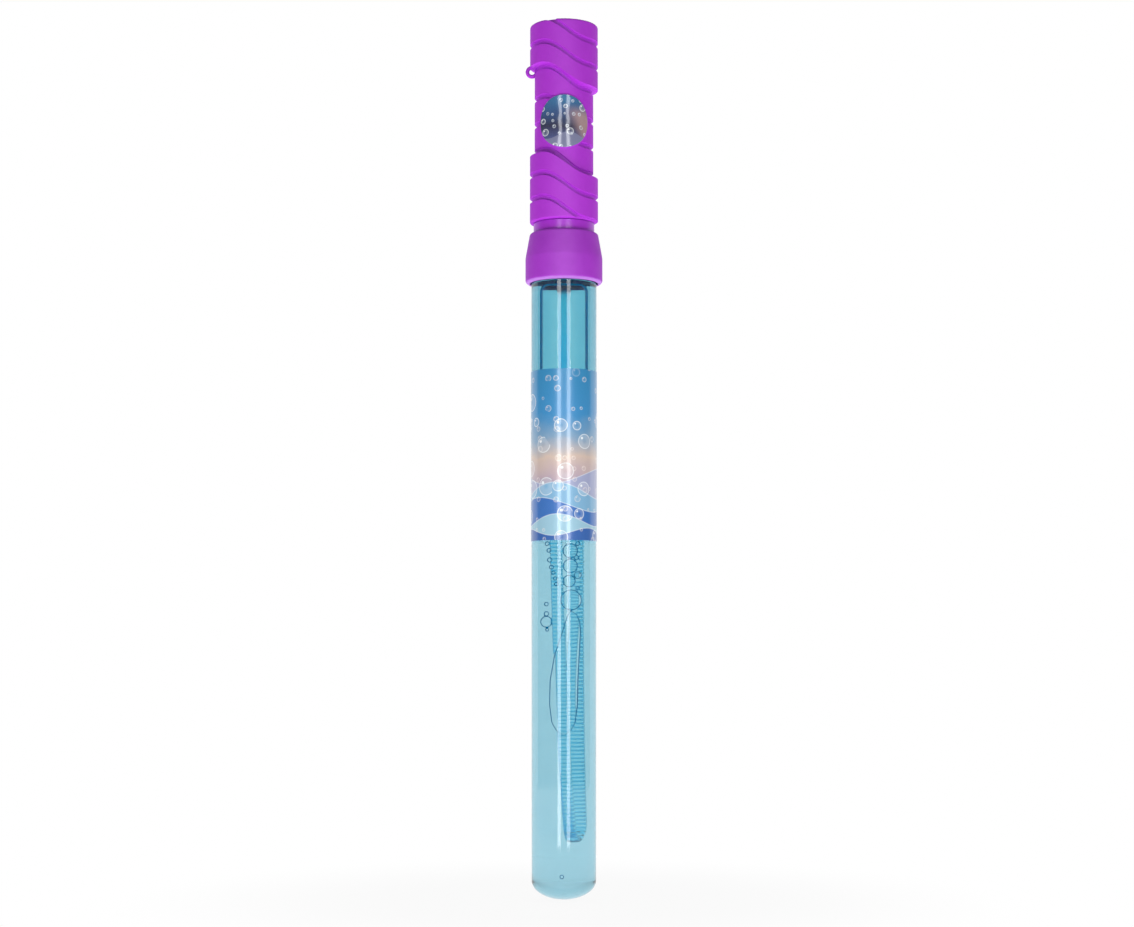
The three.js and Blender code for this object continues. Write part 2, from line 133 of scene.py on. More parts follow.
def thread_rise(angle, height, start):
    """Height of a helical ridge over its wall. Its middle climbs from start by one pitch a turn, its sides
    ease from root to crest, and it dies away at both ends."""
    rise = np.zeros(np.broadcast(angle, height).shape)
    for whole_turns in range(int(np.ceil(THREAD_TURNS))):
        turn = angle / (2 * np.pi) + whole_turns
        off_middle = np.abs(height - start - THREAD_PITCH * turn)
        flank = eased((THREAD_ROOT - off_middle) / (THREAD_ROOT - THREAD_CREST))
        fade = np.clip(np.minimum(turn, THREAD_TURNS - turn) / THREAD_RUN_OUT, 0, 1)
        rise = np.maximum(rise, THREAD_HEIGHT * flank * fade)
    return rise


def threaded(below, wall, above, start, side, facets):
    """A grid turned about Z from three stretches of a profile. The thread stands on the middle one, outwards
    where side is 1 and inwards where it is -1."""
    points = np.concatenate([below, wall, above])
    angle = once_round(facets)
    radius = np.repeat(points[:, :1], facets, 1)
    radius[len(below) : len(below) + len(wall)] += side * thread_rise(angle, wall[:, 1:], start)
    return turned(radius, points[:, 1], facets)


def tube_radius(height):
    """Outer radius of the drafted body, which widens evenly from the dome to the shoulder."""
    return np.interp(height, [DOME_HEIGHT, TUBE_SHOULDER], [TUBE_FOOT_RADIUS, TUBE_TOP_RADIUS])


def close_seams(piece, sharp):
    """Merges the points that coincide, drops the faces that this leaves without area, and shades it smooth
    except over edges sharper than the angle in degrees."""
    work = bmesh.new()
    work.from_mesh(piece.data)
    bmesh.ops.remove_doubles(work, verts=work.verts, dist=MERGE_DISTANCE)
    bmesh.ops.dissolve_degenerate(work, edges=work.edges, dist=NO_LENGTH)
    work.to_mesh(piece.data)
    work.free()
    piece.data.shade_smooth()
    piece.data.set_sharp_from_angle(angle=np.radians(sharp))


def mesh_piece(name, *grids, finish, body=None, uv=None, mark=None, sharp=40):
    """One object made of grids of points in mm, rows by columns. Each grid is (points, around, along):
    around joins its last column to its first, and along its last row to its first. uv gives the piece its
    own map, one pair a point, and mark a named number at each point. Its seams are closed, and edges sharper
    than sharp degrees stay sharp."""
    points, quads, total = [], [], 0
    for grid, around, along in grids:
        rows, columns = grid.shape[:2]
        index = total + np.arange(rows * columns).reshape(rows, columns)
        index = np.concatenate([index, index[:, :1]], 1) if around else index
        index = np.concatenate([index, index[:1]], 0) if along else index
        corners = [index[:-1, :-1], index[:-1, 1:], index[1:, 1:], index[1:, :-1]]
        quads.append(np.stack(corners, -1).reshape(-1, 4))
        points.append(grid.reshape(-1, 3))
        total += rows * columns
    points, quads = np.concatenate(points) / MM_PER_METRE, np.concatenate(quads)
    mesh = bpy.data.meshes.new(name)
    mesh.vertices.add(len(points))
    mesh.vertices.foreach_set("co", points.astype(np.float32).ravel())
    mesh.loops.add(quads.size)
    mesh.loops.foreach_set("vertex_index", quads.astype(np.int32).ravel())
    mesh.polygons.add(len(quads))
    mesh.polygons.foreach_set("loop_start", np.arange(0, quads.size, 4, dtype=np.int32))
    mesh.update(calc_edges=True)
    if uv is not None:
        layer = mesh.uv_layers.new(name="Wrap")
        layer.data.foreach_set("uv", uv.reshape(-1, 2)[quads.ravel()].astype(np.float32).ravel())
    if mark:
        layer = mesh.attributes.new(mark[0], "FLOAT", "POINT")
        layer.data.foreach_set("value", mark[1].astype(np.float32).ravel())
    piece = bpy.data.objects.new(name, mesh)
    bpy.context.scene.collection.objects.link(piece)
    mesh.materials.append(finish.material)
    close_seams(piece, sharp)
    if body:
        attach(piece, body)
    return piece


class Field:
    """A number that varies over a surface. Arithmetic on it adds Math nodes to its finish."""

    def __init__(self, finish, socket):
        self.finish = finish
        self.socket = socket

    def maths(self, operation, first, second=0.0):
        return self.finish.node("ShaderNodeMath", {"operation": operation}, {0: first, 1: second})

    def __add__(self, other):
        return self.maths("ADD", self, other)

    def __radd__(self, other):
        return self.maths("ADD", other, self)

    def __sub__(self, other):
        return self.maths("SUBTRACT", self, other)

    def __rsub__(self, other):
        return self.maths("SUBTRACT", other, self)

    def __mul__(self, other):
        return self.maths("MULTIPLY", self, other)

    def __rmul__(self, other):
        return self.maths("MULTIPLY", other, self)

    def __abs__(self):
        return self.maths("ABSOLUTE", self)

    def output(self, name):
        """Another output of the same node."""
        return Field(self.finish, self.socket.node.outputs[name])


class Finish:
    """The nodes of a material or of the world: its own surface, and the nodes that feed it."""

    def __init__(self, owner, surface, **even):
        owner.use_nodes = True
        self.material = owner
        self.tree = owner.node_tree
        self.surface = self.tree.nodes[surface]
        self.paint(**even)

    def feed(self, socket, value):
        """Sets a socket to a value or to the colour of a code, or links it to a field."""
        if isinstance(value, Field):
            self.tree.links.new(value.socket, socket)
        else:
            socket.default_value = ink(value) if isinstance(value, str) else value

    def node(self, kind, settings, inputs, output=0):
        """Adds a node: its settings first, then a value or a link for each socket, by name or number."""
        made = self.tree.nodes.new(kind)
        for name, value in settings.items():
            setattr(made, name, value)
        for key, value in inputs.items():
            self.feed(made.inputs[key], value)
        return Field(self, made.outputs[output])

    def place(self):
        """Where a point lies on the piece at rest, in millimetres."""
        where = self.node("ShaderNodeTexCoord", {}, {}, "Object")
        return self.node("ShaderNodeVectorMath", {"operation": "SCALE"}, {0: where, "Scale": MM_PER_METRE})

    def axes(self, vector):
        """The three numbers of a vector."""
        x = self.node("ShaderNodeSeparateXYZ", {}, {0: vector})
        return x, x.output("Y"), x.output("Z")

    def length(self, x, y):
        """The length of a flat vector: the root of the sum of its squares."""
        square = x * x + y * y
        return square.maths("SQRT", square)

    def step(self, field, low, high):
        """0 below low and 1 above high, eased between them. With low above high it falls instead."""
        ends = {"Value": field, "From Min": low, "From Max": high}
        return self.node("ShaderNodeMapRange", {"interpolation_type": "SMOOTHSTEP"}, ends)

    def noise(self, vector, size, detail=2.0):
        """Cloudy noise from 0 to 1 whose blobs are about size millimetres."""
        sockets = {"Vector": vector, "Scale": 1 / size, "Detail": detail}
        return self.node("ShaderNodeTexNoise", {"noise_dimensions": "3D"}, sockets)

    def blend(self, share, first, second):
        """The first colour where share is 0 and the second where it is 1."""
        return self.node("ShaderNodeMix", {"data_type": "RGBA"}, {0: share, 6: first, 7: second}, 2)

    def ramp(self, share, stops):
        """A colour that runs through stops from 0 to 1, each a share and a colour code."""
        colour = self.node("ShaderNodeValToRGB", {}, {0: share})
        elements = colour.socket.node.color_ramp.elements
        elements[0].color, elements[1].color = ink(stops[0][1]), ink(stops[-1][1])
        for place, code in stops[1:-1]:
            elements.new(place).color = ink(code)
        return colour

    def paint(self, **sockets):
        """Sets the surface's own sockets to values, or links them to fields."""
        for name, value in sockets.items():
            self.feed(self.surface.inputs[name.replace("_", " ")], value)

    def cover(self, share, kind, inputs):
        """Lays another shader over the surface, to the share that a field gives."""
        under = Field(self, self.surface.outputs[0])
        mixed = self.node("ShaderNodeMixShader", {}, {0: share, 1: under, 2: self.node(kind, {}, inputs)})
        self.feed(self.tree.nodes["Material Output"].inputs["Surface"], mixed)

    def relief(self, height, depth):
        """Lets a field from 0 to 1 stand off the surface by depth millimetres, as the shading's normal."""
        bump = self.node("ShaderNodeBump", {}, {"Height": height, "Distance": depth / MM_PER_METRE})
        self.feed(self.surface.inputs["Normal"], bump)


def made_of(name, **even):
    """A new material with a plain surface whose even values are set straight on it."""
    return Finish(bpy.data.materials.new(name), "Principled BSDF", **even)


def ink(code):
    """The linear colour of a six-digit sRGB code, by the sRGB curve."""
    srgb = np.array([int(code[i : i + 2], 16) for i in (0, 2, 4)]) / 255
    linear = np.where(srgb <= 0.04045, srgb / 12.92, ((srgb + 0.055) / 1.055) ** 2.4)
    return (*linear.tolist(), 1.0)


# One closed profile, up the outside and down the bore, is turned about Z, and the thread rises on its neck.
tube_outside = profile(
    arc((0, DOME_HEIGHT), TUBE_FOOT_RADIUS, -90, 0, DOME_STEPS, DOME_HEIGHT),
    run((TUBE_FOOT_RADIUS, DOME_HEIGHT), (TUBE_TOP_RADIUS, TUBE_SHOULDER - SHOULDER_ROUNDING), WALL_ROW),
    arc((TUBE_TOP_RADIUS - SHOULDER_ROUNDING, TUBE_SHOULDER - SHOULDER_ROUNDING),
        SHOULDER_ROUNDING, 0, SHOULDER_SWEEP, SHOULDER_STEPS),
)
tube_neck = run((NECK_RADIUS, NECK_FOOT), (NECK_RADIUS, RIM - RIM_ROUNDING), THREAD_ROW)
inner_dome = DOME_HEIGHT - FOOT_THICKNESS + TUBE_WALL
inner_dome_top = FOOT_THICKNESS + inner_dome
bore_foot = TUBE_FOOT_RADIUS - TUBE_WALL
bore_top = TUBE_TOP_RADIUS - TUBE_WALL
tube_inside = profile(
    arc((NECK_RADIUS - RIM_ROUNDING, RIM - RIM_ROUNDING), RIM_ROUNDING, 0, 90),
    arc((NECK_BORE + RIM_ROUNDING, RIM - RIM_ROUNDING), RIM_ROUNDING, 90, 180),
    run((NECK_BORE, RIM - RIM_ROUNDING), (NECK_BORE, NECK_FOOT - TUBE_WALL), NECK_ROW),
    (bore_top, TUBE_SHOULDER - TUBE_WALL),
    run((bore_top, TUBE_SHOULDER - TUBE_WALL), (bore_foot, inner_dome_top), WALL_ROW),
    arc((0, inner_dome_top), bore_foot, 0, -90, DOME_STEPS, inner_dome),
)
tube_shell = threaded(tube_outside, tube_neck, tube_inside[1:], NECK_THREAD_START, 1, TUBE_FACETS)

clear_tube = made_of("clear_tube", Transmission_Weight=1.0, IOR=1.49)
where = clear_tube.place()
flow = clear_tube.noise(where, FLOW_SIZE)
smears = clear_tube.noise(where, SMEAR_SIZE, SMEAR_DETAIL)
clear_tube.relief(flow, FLOW_DEPTH)
clear_tube.paint(
    Base_Color=clear_tube.blend(flow, TUBE_TINT, TUBE_PALE),
    Roughness=TUBE_ROUGHNESS + SMEAR_ROUGHNESS * smears,
)
tube = mesh_piece("clear_tube", (tube_shell, True, False), finish=clear_tube, body="tube")
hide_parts("tube")


# Bubble solution
# The solution fills the tube round the wand. Pockets and chains of air lie against the front wall, as
# they do when the toy has lain flat. Each has a thin painted dark line where the liquid meets the wall,
# painted shade for the dark edge that refraction shows there. Pockets in the upper tube get a painted
# tint in the liquid, paler in their middle and darker towards their edge.

SOLUTION_LEVEL = 272.0
WALL_OVERLAP = 0.06
FRONT_REACH = 62.0
FRONT_SPACING = 2.05
BACK_SPACING = 7.5
ROW_SPACING = 0.5
FOOT_ROWS = 20
FOOT_SWEEP = 88
MENISCUS_SHARE = 0.9
MENISCUS_DROP = 0.5
UPPER_POCKET = (0.0, 210.0, 9.3, 46.0)
POCKET_ROUNDING = 2.6
WIDEST_POCKET = 0.95
DROP_HEIGHT = (68.0, 70.0, 73.2, 80.5, 90.5, 100.5, 110.4, 114.4, 117.7, 119.0)
DROP_LEFT = (-0.2, -3.0, -4.8, -5.7, -5.5, -3.8, -0.6, 0.6, 1.8, 2.7)
DROP_RIGHT = (0.1, 2.7, 4.5, 5.4, 5.6, 6.1, 6.6, 6.4, 5.1, 3.0)
DROP_BORE = 12
LEAST_POCKET = 0.1
LEAST_FACING = 0.3
EDGE_ON = 1e-3
AIR_BUBBLES = np.array([
    (2.6, 144.1, 2.9), (2.6, 137.8, 2.8), (2.1, 131.5, 2.4), (2.9, 123.7, 4.1), (5.6, 134.0, 1.4),
    (5.6, 147.1, 0.8), (5.1, 141.3, 0.9), (5.5, 128.7, 0.7), (-7.0, 114.7, 2.2), (-7.0, 118.0, 0.9),
    (-7.0, 122.0, 0.75), (-6.7, 111.4, 0.6), (-6.7, 147.1, 0.8), (-6.0, 144.3, 0.8), (-5.7, 140.3, 0.9),
    (-5.0, 137.3, 0.8), (-4.2, 135.0, 0.7), (-3.5, 132.6, 0.7), (-3.1, 130.2, 0.7), (-0.8, 10.4, 0.75),
])
DENT_DEPTH = 0.5
DENT_EASE = 0.8
FAR_FROM_AIR = 9.0
SOLUTION_TINT = "e4f1f3"
SOLUTION_DEEP = "dceef1"
DRIFT_SIZE = 14.0
UPPER_START = (150.0, 162.0)
UPPER_TINT = "9dd0db"
POCKET_PAINTED_TINT = "bdffff"
POCKET_PAINTED_SHADE = "78d8e5"
POCKET_EDGE = (0.0, -0.4)
POCKET_SHADING = (-7.0, -0.8)
AIR_LINE_SHADE = "037bb0"
LINE_EDGES = (0.2, 0.1)
UPPER_LINE_EXTRA = (0.24, 0.1)


def bore_radius(height):
    """Inner radius of the tube at a height: half an ellipse in the foot, then straight stretches."""
    dome = np.clip((inner_dome_top - height) / inner_dome, 0, 1)
    heights = [inner_dome_top, TUBE_SHOULDER - TUBE_WALL, NECK_FOOT - TUBE_WALL, RIM]
    straight = np.interp(height, heights, [bore_foot, bore_top, NECK_BORE, NECK_BORE])
    return straight * np.sqrt(1 - dome * dome)


def rounded_box(across, height, box, rounding):
    """Distance from the edge of a box with rounded corners, below 0 inside it. A box is its middle across
    and up, and its half width and height."""
    beside = np.abs(across - box[0]) - box[2] + rounding
    beyond = np.abs(height - box[1]) - box[3] + rounding
    outside = np.hypot(np.maximum(beside, 0), np.maximum(beyond, 0))
    return outside + np.minimum(np.maximum(beside, beyond), 0) - rounding


# The wall is a grid of heights and of angles from the front, and the points lie closer before than behind.
front_angles = np.arange(-FRONT_REACH, FRONT_REACH, FRONT_SPACING)
back_count = int((360 - 2 * FRONT_REACH) / BACK_SPACING) + 1
back_angles = np.linspace(FRONT_REACH, 360 - FRONT_REACH, back_count)[1:-1]
from_front = np.radians(np.concatenate([front_angles, back_angles]))
foot_rows = inner_dome_top - inner_dome * np.cos(np.radians(np.linspace(0, FOOT_SWEEP, FOOT_ROWS)))
body_rows = np.arange(inner_dome_top, SOLUTION_LEVEL + ROW_SPACING / 2, ROW_SPACING)
liquid_rows = np.concatenate([foot_rows, body_rows])
liquid_bore = bore_radius(liquid_rows)[:, None]
across = liquid_bore * np.sin(from_front)
height = np.broadcast_to(liquid_rows[:, None], across.shape)

# Each point's distance from the edge of the nearest air: a box, a long drop or a round bubble.
upper_edge = rounded_box(across, height, UPPER_POCKET, POCKET_ROUNDING)
left = np.interp(liquid_rows, DROP_HEIGHT, DROP_LEFT)[:, None]
right = np.interp(liquid_rows, DROP_HEIGHT, DROP_RIGHT)[:, None]
in_long = (liquid_rows >= DROP_HEIGHT[0]) & (liquid_rows <= DROP_HEIGHT[-1])
long_middle, long_half = (left + right) / 2, (right - left) / 2 * in_long[:, None]
long_edge = np.where(in_long[:, None], np.abs(across - long_middle) - long_half, FAR_FROM_AIR)
offsets = across[..., None] - AIR_BUBBLES[:, 0], height[..., None] - AIR_BUBBLES[:, 1]
bubble_edge = (np.hypot(*offsets) - AIR_BUBBLES[:, 2]).min(-1)
in_front = np.cos(from_front) > 0
air_edge = np.where(in_front, np.minimum(np.minimum(upper_edge, long_edge), bubble_edge), FAR_FROM_AIR)

# The liquid's radius is the bore's, cut off by a flat face at each pocket and dented at each bubble.
off_middle = np.abs(liquid_rows - UPPER_POCKET[1])
round_off = np.maximum(np.minimum(off_middle, UPPER_POCKET[3]) - UPPER_POCKET[3] + POCKET_ROUNDING, 0)
upper_half = UPPER_POCKET[2] - POCKET_ROUNDING + np.sqrt(POCKET_ROUNDING**2 - round_off**2)
upper_half = np.where(off_middle < UPPER_POCKET[3], upper_half, 0)[:, None]
flat_upper = np.sqrt(liquid_bore**2 - np.minimum(upper_half, WIDEST_POCKET * liquid_bore) ** 2)
flat_long = np.sqrt(liquid_bore**2 - long_half**2)
liquid_radii = np.repeat(liquid_bore + WALL_OVERLAP, len(from_front), 1)
facing = np.where(in_front, np.cos(from_front), EDGE_ON)
liquid_radii = np.where(upper_half > 0, np.minimum(liquid_radii, flat_upper / facing), liquid_radii)
long_facing = np.cos(from_front - np.arcsin(long_middle / DROP_BORE))
liquid_radii = np.where(
    (long_half > LEAST_POCKET) & (long_facing > LEAST_FACING),
    np.minimum(liquid_radii, flat_long / np.maximum(long_facing, LEAST_FACING)),
    liquid_radii,
)
dent = DENT_DEPTH * (1 - np.exp(np.minimum(bubble_edge, 0) / DENT_EASE))
liquid_radii = liquid_radii - np.where(in_front, dent, 0)
liquid_points = np.stack(
    [liquid_radii * np.sin(from_front), -liquid_radii * np.cos(from_front), height], -1
)
foot_pole = np.zeros((1, len(from_front), 3)) + [0, 0, FOOT_THICKNESS - WALL_OVERLAP]
top_ring = liquid_points[-1:] * [MENISCUS_SHARE, MENISCUS_SHARE, 1] - [0, 0, MENISCUS_DROP]
top_pole = np.zeros((1, len(from_front), 3)) + [0, 0, SOLUTION_LEVEL - MENISCUS_DROP]
liquid_grid = np.concatenate([foot_pole, liquid_points, top_ring, top_pole])
edge_field = np.pad(air_edge, ((1, 2), (0, 0)), constant_values=FAR_FROM_AIR)

liquid = made_of("bubble_solution", Transmission_Weight=1.0, IOR=1.4, Roughness=0.0)
from_air = liquid.node("ShaderNodeAttribute", {"attribute_name": "air_edge"}, {}, "Fac")
where = liquid.place()
drift = liquid.noise(where, DRIFT_SIZE)
_, _, liquid_z = liquid.axes(where)
is_upper = liquid.step(liquid_z, *UPPER_START)
# Painted light and shade in the upper pockets: a pale tint in their middle, darker towards their edge.
in_pocket = liquid.step(from_air, *POCKET_EDGE) * is_upper
liquid_tint = liquid.blend(drift, SOLUTION_TINT, SOLUTION_DEEP)
liquid_tint = liquid.blend(is_upper, liquid_tint, UPPER_TINT)
near_edge = liquid.step(from_air, *POCKET_SHADING)
pocket_painted_tint = liquid.blend(near_edge, POCKET_PAINTED_TINT, POCKET_PAINTED_SHADE)
liquid.paint(Base_Color=liquid.blend(in_pocket, liquid_tint, pocket_painted_tint))
# Painted shade: a thin dark line along the edge of each pocket and bubble, wider in the upper tube.
line_edges = [edge + extra * is_upper for edge, extra in zip(LINE_EDGES, UPPER_LINE_EXTRA)]
liquid.cover(
    liquid.step(abs(from_air), *line_edges),
    "ShaderNodeBsdfPrincipled",
    {"Base Color": AIR_LINE_SHADE, "Specular IOR Level": 0.0},
)
mesh_piece("bubble_solution", (liquid_grid, True, False), finish=liquid, body="tube",
           mark=("air_edge", edge_field), sharp=60)


# Printed label
# A thin glossy film is wrapped once round the tube and butted behind. It is printed with a dusk sky,
# rolling hills and rising soap bubbles. Its white back is given a painted glow, an emission that stands
# in for the light coming through the film.

LABEL_BOTTOM = 148.5
LABEL_HEIGHT = 71.8
LABEL_THICKNESS = 0.15
LABEL_LIFT = 0.05
LABEL_FACETS = 144
LABEL_MEAN_RADIUS = 13.8
LABEL_WIDTH = 2 * np.pi * LABEL_MEAN_RADIUS
FILM_BACK_AND_GLOW = "f4f6f7"
FILM_MIDDLE = (0.03, -0.03)
FILM_ROUGHNESS = 0.26
GRAIN_SIZE = 0.35
GRAIN_DEPTH = 0.004
GRAIN_ROUGHNESS = 0.1
GRAIN_FLECK = 0.05
SKY = [
    (0.0, "2f6ab5"), (0.22, "6d90c8"), (0.37, "bfa9b4"), (0.48, "d6bfb0"), (0.6, "7fa3c2"), (0.74, "2f8cc6"),
    (1.0, "2086ba"),
]
CLOUD_SIZE = 9.0
CLOUD_SHIFT = 0.12
PRINT_DETAIL = 3.0
PRINT_EDGE = (0.15, -0.15)
# Each hill's height, swell, wave, shift and colour.
HILLS = [
    (27, 3.6, 9.0, 0.6, "a3a9cc"), (21, 3.2, 7.0, 2.2, "7fb4d8"), (15, 3.0, 8.2, 4.0, "2f6fbe"),
    (8.5, 2.4, 6.0, 1.1, "9cc8dc"), (3.6, 1.6, 5.0, 3.2, "2a62b0"),
]
HILL_LINE = (0.3, 0.1)
HILL_LINE_SHARE = 0.5
HILL_LINE_INK = "e8f1f6"
# Each print's spacing, its rings' least radius and spread as shares of that, the share of cells used, and
# the strength and colour of its ink.
FILM_RINGS = [(9.5, 0.14, 0.26, 0.5, 1.0, "f2f6f8"), (4.2, 0.1, 0.22, 0.22, 0.6, "f5ece6")]
CELL_SCATTER = 0.8
CELL_EDGE = 0.02
RING_LINE = (0.26, 0.1)
RING_FILL = (0.1, -0.1)
FILL_REACH = 1.3
GLEAM_SHIFT = 0.45
GLEAM_SIZE = 0.03
GLEAM_EDGE = (0.08, -0.02)
RING_SHARES = (0.6, 0.16, 0.8)


def above_hill(x, y, level, swell, spacing, shift):
    """Height above a printed hill, whose crest is a sine wave."""
    wave = x * (1 / spacing) + shift
    return y - level - swell * wave.maths("SINE", wave)


def soap_bubbles(finish, vector, art, pitch, lowest, spread, share, strength, colour):
    """Prints rings on the art in a share of scattered cells, with a radius of its own in each: a thin bright
    edge, a fill that pales towards it, and a gleam up to the left."""
    cells = {"Vector": vector, "Scale": 1 / pitch, "Randomness": CELL_SCATTER}
    distance = finish.node("ShaderNodeTexVoronoi", {"voronoi_dimensions": "2D"}, cells)
    middle = {0: vector, 1: distance.output("Position")}
    off_x, off_y, _ = finish.axes(finish.node("ShaderNodeVectorMath", {"operation": "SUBTRACT"}, middle))
    chance, sort, _ = finish.axes(distance.output("Color"))
    radius = (lowest + spread * chance) * pitch
    reach = distance * pitch
    ring = finish.step(abs(reach - radius), *RING_LINE)
    fill = finish.step(reach - radius, *RING_FILL) * finish.step(reach, 0.0, FILL_REACH * lowest * pitch)
    gleam_x, gleam_y = off_x + GLEAM_SHIFT * radius, off_y - GLEAM_SHIFT * radius
    from_gleam = gleam_x * gleam_x + gleam_y * gleam_y - GLEAM_SIZE * radius * radius
    gleam = finish.step(from_gleam, *GLEAM_EDGE)
    inked = RING_SHARES[0] * ring + RING_SHARES[1] * fill + RING_SHARES[2] * gleam
    inked = inked * finish.step(sort, share, share - CELL_EDGE)
    return finish.blend(strength * inked, art, colour)


# Painted glow: the film's white back emits light, though it is no lamp, in place of light let through it.
film = made_of("printed_label", Coat_Weight=0.6, Coat_Roughness=0.06, Emission_Strength=0.85)
wrap = film.node("ShaderNodeUVMap", {"uv_map": "Wrap"}, {})
on_film = film.node(
    "ShaderNodeVectorMath", {"operation": "MULTIPLY"}, {0: wrap, 1: (LABEL_WIDTH, LABEL_HEIGHT, 1)}
)
film_x, film_y, _ = film.axes(on_film)
grain = film.noise(on_film, GRAIN_SIZE)
clouds = film.noise(on_film, CLOUD_SIZE, PRINT_DETAIL)
art = film.ramp(film_y * (1 / LABEL_HEIGHT) + CLOUD_SHIFT * (clouds - 0.5), SKY)
for *hill, colour in HILLS:
    crest = above_hill(film_x, film_y, *hill)
    art = film.blend(film.step(crest, *PRINT_EDGE), art, colour)
    crest_line = film.step(abs(crest), *HILL_LINE) * HILL_LINE_SHARE
    art = film.blend(crest_line, art, HILL_LINE_INK)
for rings in FILM_RINGS:
    art = soap_bubbles(film, on_film, art, *rings)
label_x, label_y, _ = film.axes(film.place())
off_axis = film.length(label_x, label_y)
label_low = tube_radius(LABEL_BOTTOM) + LABEL_LIFT
label_high = tube_radius(LABEL_BOTTOM + LABEL_HEIGHT) + LABEL_LIFT
mid_film = label_low + LABEL_THICKNESS / 2 + (label_high - label_low) / LABEL_HEIGHT * film_y
inner_side = film.step(off_axis - mid_film, *FILM_MIDDLE)
art = film.blend(inner_side, art, FILM_BACK_AND_GLOW)
film.relief(grain, GRAIN_DEPTH)
film.paint(
    Base_Color=film.blend(GRAIN_FLECK * grain, art, WHITE),
    Roughness=FILM_ROUGHNESS + GRAIN_ROUGHNESS * grain,
    Emission_Color=film.blend(inner_side, BLACK, FILM_BACK_AND_GLOW),
)

# The film's section is carried once round the tube from behind, and follows its draft.
label_radius = np.array([label_low, label_low + LABEL_THICKNESS, label_high + LABEL_THICKNESS, label_high])
label_rise = np.array([0, 0, 1, 1])
label_share = np.linspace(0, 1, LABEL_FACETS + 1)
label_angle = np.pi / 2 + 2 * np.pi * label_share
label_points = np.stack([
    label_radius[:, None] * np.cos(label_angle),
    label_radius[:, None] * np.sin(label_angle),
    np.repeat((LABEL_BOTTOM + LABEL_HEIGHT * label_rise)[:, None], LABEL_FACETS + 1, 1),
], -1)
label_uv = np.stack(np.broadcast_arrays(label_share, label_rise[:, None]), -1)
label = mesh_piece("printed_label", (label_points, False, True), finish=film, body="tube", uv=label_uv)
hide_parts("tube_label")


# Seal liner
# A ring of white foamed plastic is punched from sheet and lies loose in the cap. The neck's rim presses
# into it when the cap is screwed down.

LINER_FACETS = 96
LINER_BORE = 9.5
LINER_RADIUS = 12.3
LINER_BOTTOM = 277.0
LINER_THICKNESS = 1.0
LINER_ROUNDING = 0.2
LINER_STEPS = 3
FOAM_WHITE = "f4f3ee"
FOAM_SHADE = "e2e0d8"
FOAM_CELLS = 4.0
FOAM_DEPTH = 0.05

liner_edge = LINER_RADIUS - LINER_ROUNDING
liner_profile = profile(
    arc((liner_edge, LINER_BOTTOM + LINER_ROUNDING), LINER_ROUNDING, -90, 0, LINER_STEPS),
    arc((liner_edge, LINER_BOTTOM + LINER_THICKNESS - LINER_ROUNDING), LINER_ROUNDING, 0, 90, LINER_STEPS),
    (LINER_BORE, LINER_BOTTOM + LINER_THICKNESS),
    (LINER_BORE, LINER_BOTTOM),
)
white_foam = made_of("white_foam", Roughness=0.85)
foam_cells = white_foam.node("ShaderNodeTexVoronoi", {}, {"Vector": white_foam.place(), "Scale": FOAM_CELLS})
white_foam.relief(foam_cells, FOAM_DEPTH)
white_foam.paint(Base_Color=white_foam.blend(foam_cells, FOAM_WHITE, FOAM_SHADE))
liner = mesh_piece("seal_liner_ring", (turned(*liner_profile.T, LINER_FACETS), True, True),
                   finish=white_foam, body="seal")
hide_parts("seal_liner")


# Dipping wand
# The wand is one moulding in clear blue plastic: a plug that snaps into the cap, a stepped stem, and a
# long slotted frame whose ribs hold the solution. It hangs from the cap, and its thin frame has warped.

WAND_TURN = 55.0
WAND_TWIST = 30.0
TWIST_POWER = 1.6
WAND_LEAN = 2.9
LEAN_POWER = 3
SHANK_FACETS = 48
SHANK_ROW = 4
SHANK_STEPS = 3
STEM_RADIUS = 2.4
STEM_STEP = 254.3
STEM_FILLET = 0.3
PLUG_RADIUS = 3.0
PLUG_ROUNDING = 0.2
PLUG_HEAD = (3.7, 290.0, 292.2)
PLUG_EDGE = 0.3
FLANGE = (5.0, 276.8, 278.0)
FLANGE_ROUNDING = 0.3
FRAME_TOP = 221.5
FRAME_SHOULDER = 218.0
FRAME_FOOT = 24.3
FRAME_HALF = 2.2
BAR_MIDDLE = 6.0
BAR_HALF = 0.7
BAR_SIDES = 16
RIB_HEIGHT = 0.65
RIB_PITCH = 1.6
RIB_SAMPLES = 8
FOOT_RIBS = 11
SLOT_RADIUS = 5.3
JOIN = 0.1
HEAD_POINTS = 25
HEAD_PULL = (4.0, 4.5)
HEAD_INSET = 0.05
HEAD_REACH = np.array([0.0, 0.5, 0.9, 1.0, 0.9, 0.5, 0.0])
HEAD_DEPTH = np.array([-1, -1, -1, 0, 1, 1, 1])
STEM_TINT = "58dcec"
FRAME_TINT = "3ad8f8"
WAND_CREST_HIGHLIGHT = "d8f9ff"
WAND_STEP_SHADE = "1f93b3"
STEP_SHADE_EDGES = (0.5, 0.2)
MOULD_SIZE = 3.0
RIPPLE_SIZE = 0.8
RIPPLE_DEPTH = 0.02
WAND_ROUGHNESS = 0.06
MOULD_ROUGHNESS = 0.08


def hung(points):
    """Points of the frame as it hangs: turned about Z, and more and more wrung and bent to the right from
    its head to its foot, by a power of the share of its length."""
    x, y, z = np.moveaxis(points, -1, 0)
    down = np.clip((FRAME_TOP - z) / (FRAME_TOP - FRAME_FOOT), 0, 1)
    turn = np.radians(WAND_TURN + WAND_TWIST * down**TWIST_POWER)
    bent = WAND_LEAN * down**LEAN_POWER
    return np.stack([x * np.cos(turn) - y * np.sin(turn) + bent, x * np.sin(turn) + y * np.cos(turn), z], -1)


